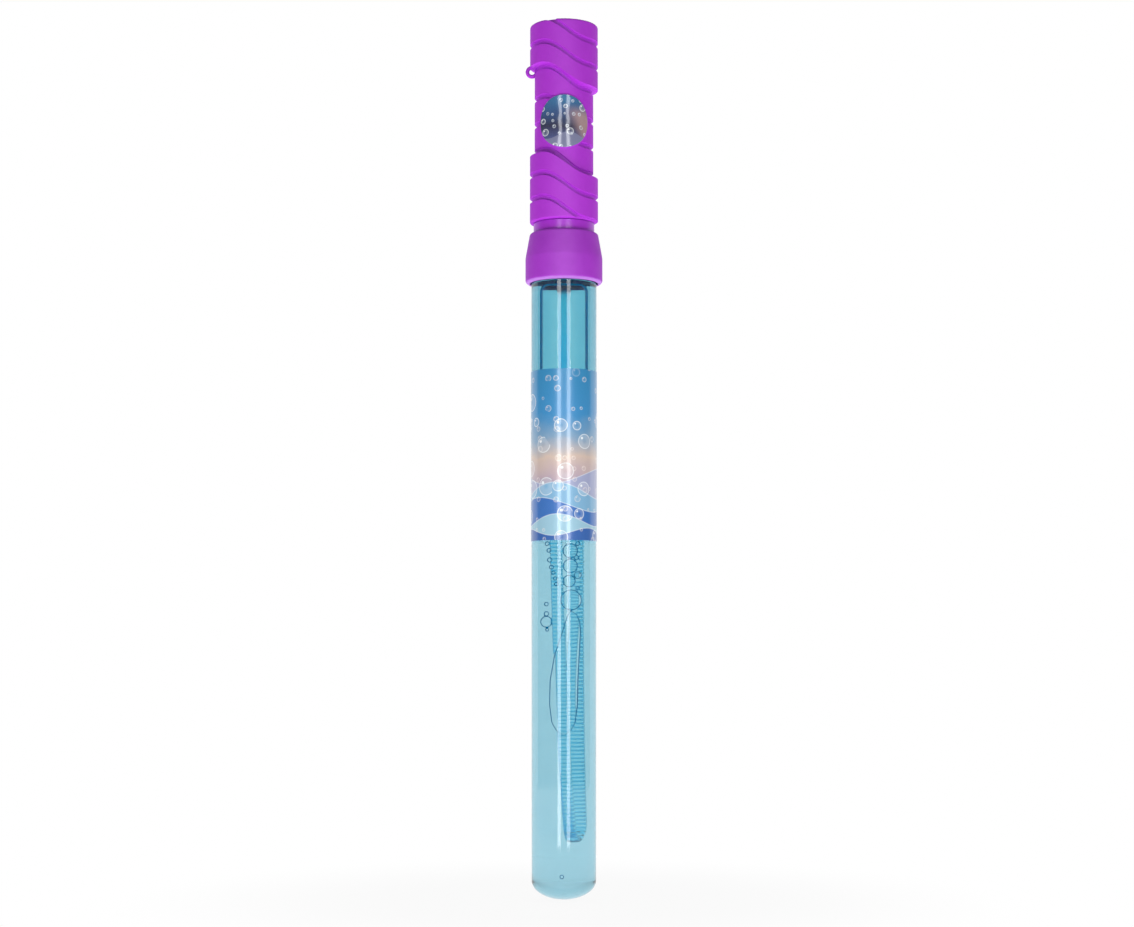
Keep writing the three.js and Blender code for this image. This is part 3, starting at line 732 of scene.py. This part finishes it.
def capped(rows):
    """A grid of rings with a last ring at each end, drawn together to the end's middle."""
    ends = rows[[0, -1]].mean(1, keepdims=True) + np.zeros((2, rows.shape[1], 3))
    return np.concatenate([ends[:1], rows, ends[1:]])


def squared(wave):
    """A sine or cosine pushed outwards by the root of its size, so that a circle becomes a soft square."""
    return np.sign(wave) * np.sqrt(np.abs(wave))


def ribbed(share, count):
    """Rise of a bar's ribs from 0 to 1 at a share of its length: count cosine waves, level at both ends."""
    return 0.5 - 0.5 * np.cos(2 * np.pi * count * share)


shank_profile = profile(
    (0, FRAME_TOP - JOIN),
    run((STEM_RADIUS, FRAME_TOP - JOIN), (STEM_RADIUS, STEM_STEP - STEM_FILLET), SHANK_ROW),
    arc((STEM_RADIUS + STEM_FILLET, STEM_STEP - STEM_FILLET), STEM_FILLET, 180, 90, SHANK_STEPS),
    arc((PLUG_RADIUS - PLUG_ROUNDING, STEM_STEP + PLUG_ROUNDING), PLUG_ROUNDING, -90, 0, SHANK_STEPS),
    run((PLUG_RADIUS, STEM_STEP + PLUG_ROUNDING), (PLUG_RADIUS, FLANGE[1]), SHANK_ROW),
    arc((FLANGE[0] - FLANGE_ROUNDING, FLANGE[1] + FLANGE_ROUNDING), FLANGE_ROUNDING, -90, 0, SHANK_STEPS),
    arc((FLANGE[0] - FLANGE_ROUNDING, FLANGE[2] - FLANGE_ROUNDING), FLANGE_ROUNDING, 0, 90, SHANK_STEPS),
    run((PLUG_RADIUS, FLANGE[2]), (PLUG_RADIUS, PLUG_HEAD[1]), SHANK_ROW),
    (PLUG_HEAD[0], PLUG_HEAD[1]),
    (PLUG_HEAD[0], PLUG_HEAD[1] + PLUG_EDGE),
    (PLUG_RADIUS - PLUG_EDGE, PLUG_HEAD[2]),
    (0, PLUG_HEAD[2]),
)
shank = turned(*shank_profile.T, SHANK_FACETS)

# The frame's bar is a soft square, carried down one leg, round the foot and up the other. Its ribs widen it
# in the plane of the frame.
leg_low, leg_high = FRAME_FOOT + BAR_MIDDLE + BAR_HALF, FRAME_SHOULDER - SLOT_RADIUS
leg_ribs = round((leg_high - leg_low) / RIB_PITCH)
leg_share = np.linspace(0, 1, leg_ribs * RIB_SAMPLES + 1)
leg_rise = np.linspace(leg_low, leg_high, leg_ribs * RIB_SAMPLES + 1)
leg_rib = ribbed(leg_share, leg_ribs)
foot_share = np.linspace(0, 1, FOOT_RIBS * RIB_SAMPLES + 1)[1:-1]
foot_bend = np.pi * foot_share
straight, level = np.ones(len(leg_rise)), np.zeros(len(leg_rise))
out_x = np.concatenate([-straight, -np.cos(foot_bend), straight])
out_z = np.concatenate([level, -np.sin(foot_bend), level])
loop_x = BAR_MIDDLE * out_x
loop_z = BAR_MIDDLE * out_z + np.concatenate([leg_rise[::-1], np.full(len(foot_bend), leg_low), leg_rise])
rib = np.concatenate([leg_rib[::-1], ribbed(foot_share, FOOT_RIBS), leg_rib])
bar_turn = once_round(BAR_SIDES)
bar_half = (BAR_HALF + RIB_HEIGHT * rib)[:, None] * squared(np.cos(bar_turn))
bar_depth = FRAME_HALF * squared(np.sin(bar_turn))
frame_loop = capped(np.stack([
    loop_x[:, None] + out_x[:, None] * bar_half,
    np.broadcast_to(bar_depth, bar_half.shape),
    loop_z[:, None] + out_z[:, None] * bar_half,
], -1))

# The frame's head lies between the slot's half circle and a cubic curve from each leg in to the stem. Its
# section runs out along its front, over its edge and back behind.
share = np.linspace(0, 1, HEAD_POINTS)
bar_outside = BAR_MIDDLE + BAR_HALF
head_curve = (
    np.outer((1 - share) ** 3, (bar_outside, leg_high - JOIN))
    + np.outer(3 * (1 - share) ** 2 * share, (bar_outside, leg_high + HEAD_PULL[0]))
    + np.outer(3 * (1 - share) * share**2, (STEM_RADIUS, FRAME_TOP - HEAD_PULL[1]))
    + np.outer(share**3, (STEM_RADIUS, FRAME_TOP))
)
head_outline = np.concatenate([head_curve, head_curve[::-1] * [-1, 1]])
sweep = np.radians(np.linspace(0, 180, len(head_outline)))
head_inner = np.stack([SLOT_RADIUS * np.cos(sweep), leg_high - JOIN + SLOT_RADIUS * np.sin(sweep)], 1)
head_flat = head_inner[:, None] + HEAD_REACH[:, None] * (head_outline - head_inner)[:, None]
head_depth = np.broadcast_to(HEAD_DEPTH * (FRAME_HALF - HEAD_INSET), head_flat.shape[:2])
frame_head = capped(np.stack([head_flat[..., 0], head_depth, head_flat[..., 1]], -1))

blue_clear = made_of("blue_clear", Transmission_Weight=0.98, IOR=1.2)
where = blue_clear.place()
mould = blue_clear.noise(where, MOULD_SIZE)
_, _, wand_z = blue_clear.axes(where)
rib_rise = blue_clear.node("ShaderNodeAttribute", {"attribute_name": "rib"}, {}, "Fac")
is_stem = blue_clear.step(wand_z, FRAME_TOP, STEM_STEP)
blue = blue_clear.blend(is_stem, FRAME_TINT, STEM_TINT)
# Painted highlight: the rib crests take a paler tint than the troughs between them.
blue = blue_clear.blend(rib_rise, blue, WAND_CREST_HIGHLIGHT)
# Painted shade: a dark line round the stem where it steps out to the plug.
step_shade_line = blue_clear.step(abs(wand_z - STEM_STEP), *STEP_SHADE_EDGES)
blue_clear.relief(blue_clear.noise(where, RIPPLE_SIZE), RIPPLE_DEPTH)
blue_clear.paint(
    Base_Color=blue_clear.blend(step_shade_line, blue, WAND_STEP_SHADE),
    Roughness=WAND_ROUGHNESS + MOULD_ROUGHNESS * mould,
)
loop_ribs = np.repeat(np.pad(rib, 1), BAR_SIDES)
wand_ribs = np.concatenate([np.zeros(shank.size // 3), loop_ribs, np.zeros(frame_head.size // 3)])
wand = mesh_piece("dipping_wand", (shank, True, False), (hung(frame_loop), True, False),
                  (hung(frame_head), True, False), finish=blue_clear, body="wand",
                  mark=("rib", wand_ribs), sharp=50)
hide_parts("wand")


# Screw cap
# The cap is one purple moulding: a flared collar with a thread inside it, a bare glossy waist, and a
# spigot and wand socket that the grip hides. The collar has a fine spark-eroded texture, and a painted
# highlight pales its lower lip.

CAP_FACETS = 128
COLLAR_RADIUS = 16.4
COLLAR_TOP_RADIUS = 14.7
COLLAR_BOTTOM = 258.2
COLLAR_SHOULDER = 269.1
COLLAR_BEND = 0.6
COLLAR_BEND_INSETS = (0.02, 0.1)
COLLAR_TOP = 279.8
COLLAR_EDGE = 1.2
COLLAR_EDGE_START = 9
COLLAR_LIP = 1.6
COLLAR_STEPS = 10
COLLAR_ROW = 2
MOUTH_RADIUS = 14.5
MOUTH_TOP = 262.6
MOUTH_EDGE = 0.6
CAP_BORE = 13.6
BORE_EDGE = 0.3
WEB_UNDERSIDE = 278.2
WAIST_RADIUS = 12.95
WAIST_TOP = 284.0
WAIST_EDGE = 0.2
WAIST_FILLET = 0.35
WAIST_ROW = 1
SPIGOT = (9.9, 8.4, 298.0)
SOCKET = (4.9, 3.3, 289.8)
CAP_THREAD_START = 265.4
PURPLE = "aa35cb"
PURPLE_DEEP = "9c2bbf"
PURPLE_LIP_HIGHLIGHT = "bd86dd"
TEXTURE_DETAIL = 3.0
EROSION_SIZE = 0.32
EROSION_DEPTH = 0.07
EROSION_ROUGHNESS = 0.12
CAP_MOTTLE_SIZE = 5.0
CAP_ROUGHNESS = 0.5
WAIST_START = (-0.1, 0.2)
WAIST_POLISH = 0.9
WAIST_GLOSS = 0.26
LIP_HIGHLIGHT_SPAN = (1.5, 0.7)
LIP_HIGHLIGHT_WANDER = 0.5
LIP_HIGHLIGHT_SHARE = 0.7

# One closed profile, up the outside and down the bore, is turned about Z, and the thread stands in its wall.
cap_outside = profile(
    (MOUTH_RADIUS, COLLAR_BOTTOM),
    arc((COLLAR_RADIUS - COLLAR_LIP, COLLAR_BOTTOM + COLLAR_LIP), COLLAR_LIP, -90, 0, COLLAR_STEPS),
    run((COLLAR_RADIUS, COLLAR_BOTTOM + COLLAR_LIP),
        (COLLAR_RADIUS, COLLAR_SHOULDER - COLLAR_BEND), COLLAR_ROW),
    (COLLAR_RADIUS - COLLAR_BEND_INSETS[0], COLLAR_SHOULDER),
    (COLLAR_RADIUS - COLLAR_BEND_INSETS[1], COLLAR_SHOULDER + COLLAR_BEND),
    arc((COLLAR_TOP_RADIUS - COLLAR_EDGE, COLLAR_TOP - COLLAR_EDGE),
        COLLAR_EDGE, COLLAR_EDGE_START, 90, COLLAR_STEPS),
    arc((WAIST_RADIUS + WAIST_FILLET, COLLAR_TOP + WAIST_FILLET), WAIST_FILLET, 270, 180),
    run((WAIST_RADIUS, COLLAR_TOP + WAIST_FILLET), (WAIST_RADIUS, WAIST_TOP - WAIST_EDGE), WAIST_ROW),
    (WAIST_RADIUS - WAIST_EDGE, WAIST_TOP),
    (SPIGOT[0], WAIST_TOP),
    (SPIGOT[0], SPIGOT[2]),
    (SPIGOT[1], SPIGOT[2]),
    (SPIGOT[1], COLLAR_TOP),
    (SOCKET[0], COLLAR_TOP),
    (SOCKET[0], SOCKET[2]),
    (SOCKET[1], SOCKET[2]),
    (SOCKET[1], WEB_UNDERSIDE),
    (CAP_BORE - BORE_EDGE, WEB_UNDERSIDE),
)
chamfer_top = MOUTH_TOP + MOUTH_RADIUS - CAP_BORE
cap_wall = run((CAP_BORE, WEB_UNDERSIDE - BORE_EDGE), (CAP_BORE, chamfer_top), THREAD_ROW)
cap_mouth = profile((MOUTH_RADIUS, MOUTH_TOP), (MOUTH_RADIUS, COLLAR_BOTTOM + MOUTH_EDGE))
cap_shell = threaded(cap_outside, cap_wall, cap_mouth, CAP_THREAD_START, -1, CAP_FACETS)

purple_cap = made_of("purple_cap", Specular_IOR_Level=0.35)
where = purple_cap.place()
_, _, cap_z = purple_cap.axes(where)
erosion = purple_cap.noise(where, EROSION_SIZE, TEXTURE_DETAIL)
mottle = purple_cap.noise(where, CAP_MOTTLE_SIZE, TEXTURE_DETAIL)
on_waist = purple_cap.step(cap_z, COLLAR_TOP + WAIST_START[0], COLLAR_TOP + WAIST_START[1])
purple_cap.relief(erosion * (1 - WAIST_POLISH * on_waist), EROSION_DEPTH)
# Painted highlight: a paler purple along the collar's lower lip, with a wandering edge.
lip_highlight = purple_cap.step(
    cap_z + LIP_HIGHLIGHT_WANDER * mottle, COLLAR_BOTTOM + LIP_HIGHLIGHT_SPAN[0], COLLAR_BOTTOM + LIP_HIGHLIGHT_SPAN[1]
)
purple = purple_cap.blend(mottle, PURPLE, PURPLE_DEEP)
purple_cap.paint(
    Base_Color=purple_cap.blend(LIP_HIGHLIGHT_SHARE * lip_highlight, purple, PURPLE_LIP_HIGHLIGHT),
    Roughness=CAP_ROUGHNESS + EROSION_ROUGHNESS * erosion - WAIST_GLOSS * on_waist,
)
cap = mesh_piece("screw_cap_collar", (cap_shell, True, True), finish=purple_cap, body="handle", sharp=35)
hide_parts("screw_cap")


# Handle grip
# The grip is a hollow purple moulding pressed over the cap's spigot. Wavy grooves part its raised bands,
# a slimmer waist carries a smooth pad for the sticker, and a small loop takes a wrist cord.

GRIP_FACETS = 208
GRIP_BOTTOM = 284.2
GRIP_LENGTH = 85.8
GRIP_RADIUS = 14.55
RECESS_RADIUS = 12.55
GRIP_BORE = 10.2
GRIP_ROOF = 83.2
ROOF_STEPS = 8
GRIP_EDGE = 0.8
RECESS_SPAN = (24.2, 62.8)
RECESS_STEP = 0.4
RAISED_GROOVES = (4.8, 15.2, 71.8, 82.2)
RECESS_GROOVES = (37.1, 48.5)
GROOVE_FLOOR = 0.9
GROOVE_REACH = 1.2
GROOVE_DEPTH = 1.0
STEP_GROOVES = (25.5, 61.5)
STEP_GROOVE_DEPTH = 0.7
WAVE_DROP = 9.8
WAVE_REACH = 0.72
FINE_ROW = 0.1
GROOVE_ROWS = np.arange(-13, 14) * FINE_ROW
STEP_ROWS = np.arange(-7, 8) * FINE_ROW
END_ROW = 0.25
END_REACH = 6.2
PLAIN_ROW = 0.8
PLAIN_REACH = 6
LEVEL_DIGITS = 3
LEAST_ROW = 0.07
LOOP_CENTRE = (-13.75, 66.2)
LOOP_RING = 1.95
LOOP_SECTION = (0.8, 1.1)
LOOP_STEPS = 40
LOOP_SIDES = 16
PAD_CENTRE = 41.8
PAD_RADIUS = 12.8
PAD_OUTLINE = 11.8
PAD_ROWS = (6, 10.8)
PAD_ROUNDING = 0.25
PAD_STEPS = 5
PAD_ROOT = 1.4
PAD_FACETS = 96
GRIP_PURPLE = "b32fd4"
GRIP_DEEP = "a827cb"
GRIP_TEXTURE_SIZE = 0.3
GRIP_TEXTURE_DEPTH = 0.06
GRIP_MOTTLE_SIZE = 6.0
GRIP_ROUGHNESS = 0.58
TEXTURE_ROUGHNESS = 0.14


def band_radius(level):
    """Radius of the grip at a level of its profile: raised, stepped in over the recess, less its grooves."""
    past_foot = eased((level - RECESS_SPAN[0]) / RECESS_STEP + 0.5)
    before_head = eased((RECESS_SPAN[1] - level) / RECESS_STEP + 0.5)
    radius = GRIP_RADIUS - (GRIP_RADIUS - RECESS_RADIUS) * (past_foot * before_head)
    band_grooves = RAISED_GROOVES + RECESS_GROOVES
    for middles, deep in ((band_grooves, GROOVE_DEPTH), (STEP_GROOVES, STEP_GROOVE_DEPTH)):
        off_groove = np.abs(level[..., None] - np.array(middles)).min(-1)
        radius = radius - deep * eased((GROOVE_REACH - off_groove) / (GROOVE_REACH - GROOVE_FLOOR))
    return radius


def round_patch(outline, top, base, rounding, steps, rows, radius):
    """A round patch on the grip's front and its flat map. A profile from the middle of its top over its edge
    to the middle of its base is turned, and then bent round a cylinder. Its heights are over that."""
    section = profile(
        (0, top), (rows[0], top), (rows[1], top),
        arc((outline - rounding, top - rounding), rounding, 90, 0, steps),
        (outline, base), (0, base),
    )
    turn = -once_round(PAD_FACETS)
    across, rise = section[:, :1] * np.cos(turn), section[:, :1] * np.sin(turn)
    out, bend = radius + section[:, 1:], across / radius
    points = np.stack([out * np.sin(bend), -out * np.cos(bend), GRIP_BOTTOM + PAD_CENTRE + rise], -1)
    return points, np.stack([across, rise], -1)


# The levels of the profile lie close at the grooves, steps and ends. A sine wave lowers them from the left
# to the right, and both ends cut them off flat.
all_grooves = RAISED_GROOVES + RECESS_GROOVES + STEP_GROOVES
levels = np.concatenate([
    np.add.outer(all_grooves, GROOVE_ROWS).ravel(),
    np.add.outer(RECESS_SPAN, STEP_ROWS).ravel(),
    np.arange(-END_REACH, END_REACH, END_ROW),
    np.arange(GRIP_LENGTH - END_REACH, GRIP_LENGTH + END_REACH, END_ROW),
    np.arange(-PLAIN_REACH, GRIP_LENGTH + PLAIN_REACH, PLAIN_ROW),
])
levels = np.unique(np.round(levels, LEVEL_DIGITS))
levels = levels[np.concatenate([[True], np.diff(levels) > LEAST_ROW])]
grip_turn = once_round(GRIP_FACETS)
fall = np.sin(np.clip(np.cos(grip_turn) / WAVE_REACH, -1, 1) * np.pi / 2)
wave_rise = -WAVE_DROP / 2 * fall
grip_rise = np.clip(levels[:, None] + wave_rise, 0, GRIP_LENGTH)
from_end = np.minimum(grip_rise, GRIP_LENGTH - grip_rise)
rounding = GRIP_EDGE - np.sqrt(GRIP_EDGE**2 - np.clip(GRIP_EDGE - from_end, 0, GRIP_EDGE) ** 2)
grip_radii = band_radius(grip_rise - wave_rise) - rounding
roof_foot = GRIP_ROOF - GRIP_BORE / 2
grip_bore = profile(
    arc((0, roof_foot), GRIP_BORE, 90, 0, ROOF_STEPS, GRIP_BORE / 2),
    run((GRIP_BORE, roof_foot), (GRIP_BORE, 0), WALL_ROW),
)
grip_radii = np.concatenate([
    np.repeat(grip_bore[:, :1], GRIP_FACETS, 1), grip_radii, np.zeros((1, GRIP_FACETS))
])
grip_rise = np.concatenate([
    np.repeat(grip_bore[:, 1:], GRIP_FACETS, 1), grip_rise, np.full((1, GRIP_FACETS), GRIP_LENGTH)
])
grip_shell = turned(grip_radii, grip_rise, GRIP_FACETS) + [0, 0, GRIP_BOTTOM]

# The cord's loop is a ring with an oval section, half sunk in the grip's side.
round_loop = once_round(LOOP_STEPS)[:, None]
round_wire = once_round(LOOP_SIDES)
loop_out = LOOP_RING + LOOP_SECTION[0] * np.cos(round_wire)
cord_loop = np.stack([
    LOOP_CENTRE[0] + loop_out * np.cos(round_loop),
    np.broadcast_to(LOOP_SECTION[1] * np.sin(round_wire), (LOOP_STEPS, LOOP_SIDES)),
    GRIP_BOTTOM + LOOP_CENTRE[1] + loop_out * np.sin(round_loop),
], -1)

pad, _ = round_patch(PAD_OUTLINE, PAD_RADIUS - RECESS_RADIUS, -PAD_ROOT, PAD_ROUNDING, PAD_STEPS,
                     PAD_ROWS, RECESS_RADIUS)

purple_grip = made_of("purple_grip", Specular_IOR_Level=0.35)
where = purple_grip.place()
texture = purple_grip.noise(where, GRIP_TEXTURE_SIZE, TEXTURE_DETAIL)
mottle = purple_grip.noise(where, GRIP_MOTTLE_SIZE, TEXTURE_DETAIL)
purple_grip.relief(texture, GRIP_TEXTURE_DEPTH)
purple_grip.paint(
    Base_Color=purple_grip.blend(mottle, GRIP_PURPLE, GRIP_DEEP),
    Roughness=GRIP_ROUGHNESS + TEXTURE_ROUGHNESS * texture,
)
grip = mesh_piece("handle_grip_bands", (grip_shell, True, False), (cord_loop, True, True),
                  (pad, True, False), finish=purple_grip, body="handle", sharp=50)
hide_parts("handle_grip")


# Grip sticker
# A round, coated paper sticker is pressed on the grip's pad. It is printed with a night sky, a low hill
# and soap bubbles.

STICKER_RADIUS = 11.3
STICKER_BASE = 12.85
STICKER_THICKNESS = 0.2
STICKER_ROWS = (5, 10)
STICKER_ROUNDING = 0.12
STICKER_STEPS = 4
NIGHT_SKY = [(0.0, "6d7094"), (0.22, "3d4880"), (0.42, "0a1040"), (0.66, "12447c"), (1.0, "1f78a8")]
NIGHT_SKY_HEIGHT = 24
HAZE_SIZE = 6.0
HAZE_SHIFT = 0.15
DUSK_INK = "b08f8e"
DUSK_SHARE = 0.85
DUSK_SLOPE = 0.5
DUSK_ACROSS = (1.0, 8.0)
DUSK_UP = (8.0, 2.0)
LOW_HILL = (-6.0, 1.4, 1 / 0.35, 0.8)
LOW_HILL_INK = "767a9c"
PAPER_RINGS = [(5.6, 0.1, 0.24, 0.4, 1.0, "eef3f6"), (2.8, 0.1, 0.2, 0.3, 0.8, "dfe8f2")]
PAPER_FLECK = 0.1

sticker_points, sticker_uv = round_patch(STICKER_RADIUS, STICKER_THICKNESS, 0, STICKER_ROUNDING,
                                         STICKER_STEPS, STICKER_ROWS, STICKER_BASE)

paper = made_of("printed_sticker", Roughness=0.16, Coat_Weight=0.3, Coat_Roughness=0.05)
wrap = paper.node("ShaderNodeUVMap", {"uv_map": "Wrap"}, {})
paper_x, paper_y, _ = paper.axes(wrap)
haze = paper.noise(wrap, HAZE_SIZE, PRINT_DETAIL)
art = paper.ramp(paper_y * (1 / NIGHT_SKY_HEIGHT) + 0.5 + HAZE_SHIFT * (haze - 0.5), NIGHT_SKY)
dusk_across = paper.step(paper_x + DUSK_SLOPE * paper_y, *DUSK_ACROSS)
dusk = dusk_across * paper.step(paper_y, *DUSK_UP)
art = paper.blend(DUSK_SHARE * dusk, art, DUSK_INK)
on_hill = paper.step(above_hill(paper_x, paper_y, *LOW_HILL), *PRINT_EDGE)
art = paper.blend(on_hill, art, LOW_HILL_INK)
for rings in PAPER_RINGS:
    art = soap_bubbles(paper, wrap, art, *rings)
fibres = paper.noise(wrap, GRAIN_SIZE)
paper.paint(Base_Color=paper.blend(PAPER_FLECK * fibres, art, WHITE))
sticker = mesh_piece("printed_sticker", (sticker_points, True, False), finish=paper, body="handle",
                     uv=sticker_uv)
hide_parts("grip_sticker")


# Studio
# The toy stands on a plain white floor before a white backdrop. Soft panels that lie before and behind it
# light it from below, two tall strips show as highlights along its front, and a black cloth behind the
# camera keeps its colours deep.

LIGHT_BOUNCES = 24
FLOOR_LEVEL = -0.3
FLOOR_TINT = "f2f2f2"
FLOOR_RINGS = (3000.0, 400.0, 100.0, 0.0)
FLOOR_FACETS = 96
FLOOR_NEAR = 0.93
FLOOR_FAR = 0.07
FLOOR_FADE = (60.0, 200.0)
STRIP_ANGLE = 16.0
STRIP_DISTANCE = 200.0
STRIP_SIZE = (42.0, 430.0)
STRIP_FOOT = 5.5
STRIP_RADIANCE = 7.0
PANEL_DISTANCE = 325.0
PANEL_RISE = 2.0
PANEL_SIZE = (1600.0, 350.0)
PANEL_RADIANCE = {"front": 3.4, "back": 3.2}
AMBIENT = 0.4
FLAG_RADIUS = 750.0
FLAG_REACH = 105.0
FLAG_HEIGHT = 1200.0
FLAG_POINTS = 49
CLOTH_DARK = "141414"
CLOTH_PALE = "1e1e1e"
WEAVE_SIZE = 2.0
CAMERA_PLACE = (1.3, -900.0, 100.0)
CAMERA_PITCH = 5.18
CAMERA_FOCUS = 2138.0
CAMERA_REACH = 100.0
PHOTO_WIDTH = 1134.0

scene = bpy.context.scene
scene.view_settings.view_transform = "Standard"
scene.cycles.max_bounces = LIGHT_BOUNCES
scene.cycles.glossy_bounces = LIGHT_BOUNCES
scene.cycles.transmission_bounces = LIGHT_BOUNCES


def seen_directly(finish):
    """1 for what the camera sees, straight on, in a reflection or through clear plastic, and 0 for light."""
    camera_ray = finish.node("ShaderNodeLightPath", {}, {}, "Is Camera Ray")
    mirrored = camera_ray.maths("MAXIMUM", camera_ray, camera_ray.output("Is Glossy Ray"))
    return mirrored.maths("MAXIMUM", mirrored, camera_ray.output("Is Transmission Ray"))


white_floor = made_of("white_floor", Base_Color=FLOOR_TINT, Roughness=0.9, Specular_IOR_Level=0.1)
floor_x, floor_y, _ = white_floor.axes(white_floor.place())
outward = white_floor.length(floor_x, floor_y)
whitened = (FLOOR_NEAR + FLOOR_FAR * white_floor.step(outward, *FLOOR_FADE)) * seen_directly(white_floor)
white_floor.cover(whitened, "ShaderNodeEmission", {"Color": WHITE, "Strength": 1.0})
floor_heights = np.full(len(FLOOR_RINGS), FLOOR_LEVEL)
floor = mesh_piece("floor", (turned(FLOOR_RINGS, floor_heights, FLOOR_FACETS), True, False),
                   finish=white_floor)

scene.world = bpy.data.worlds.new("white_backdrop")
backdrop = Finish(scene.world, "Background", Color=WHITE)
backdrop.paint(Strength=AMBIENT + (1 - AMBIENT) * seen_directly(backdrop))


def soft_light(name, place, aim, size, radiance):
    """A rectangular light at a place that faces another, with its second side upright. The camera sees
    neither the light itself nor its image through clear plastic."""
    lamp = bpy.data.lights.new(name, "AREA")
    lamp.shape = "RECTANGLE"
    lamp.size, lamp.size_y = size[0] / MM_PER_METRE, size[1] / MM_PER_METRE
    lamp.energy = radiance * np.pi * lamp.size * lamp.size_y
    stand = bpy.data.objects.new(name, lamp)
    stand.location = Vector(place) / MM_PER_METRE
    stand.rotation_euler = (Vector(aim) - Vector(place)).to_track_quat("-Z", "Y").to_euler()
    stand.visible_camera = False
    stand.visible_transmission = False
    scene.collection.objects.link(stand)
    return stand


strip_middle = STRIP_FOOT + STRIP_SIZE[1] / 2
for name, side in (("left", -1), ("right", 1)):
    turn = np.radians(side * STRIP_ANGLE)
    place = (STRIP_DISTANCE * np.sin(turn), -STRIP_DISTANCE * np.cos(turn), strip_middle)
    strip = soft_light(f"strip_{name}", place, (0, 0, strip_middle), STRIP_SIZE, STRIP_RADIANCE)
    strip.visible_diffuse = False
for name, side in (("front", -1), ("back", 1)):
    panel_y = side * PANEL_DISTANCE
    place, aim = (0, panel_y, PANEL_RISE), (0, panel_y, PANEL_RISE + 1)
    panel = soft_light(f"panel_{name}", place, aim, PANEL_SIZE, PANEL_RADIANCE[name])
    panel.visible_glossy = False

flag_turn = np.radians(np.linspace(-FLAG_REACH, FLAG_REACH, FLAG_POINTS))
flag_points = np.stack(np.broadcast_arrays(
    FLAG_RADIUS * np.sin(flag_turn), -FLAG_RADIUS * np.cos(flag_turn), [[0.0], [FLAG_HEIGHT]]
), -1)
black_cloth = made_of("black_cloth", Roughness=1.0, Specular_IOR_Level=0.0)
weave = black_cloth.noise(black_cloth.place(), WEAVE_SIZE)
black_cloth.paint(Base_Color=black_cloth.blend(weave, CLOTH_DARK, CLOTH_PALE))
flag = mesh_piece("front_flag", (flag_points, False, False), finish=black_cloth)
flag.visible_camera = False
flag.visible_diffuse = False
flag.visible_transmission = False
flag.visible_shadow = False

camera = bpy.data.cameras.new("camera")
camera.sensor_fit = "HORIZONTAL"
camera.lens = camera.sensor_width * CAMERA_FOCUS / PHOTO_WIDTH
camera.clip_end = CAMERA_REACH
camera_stand = bpy.data.objects.new("camera", camera)
camera_stand.location = Vector(CAMERA_PLACE) / MM_PER_METRE
camera_stand.rotation_euler = (np.radians(90 + CAMERA_PITCH), 0, 0)
scene.collection.objects.link(camera_stand)
scene.camera = camera_stand
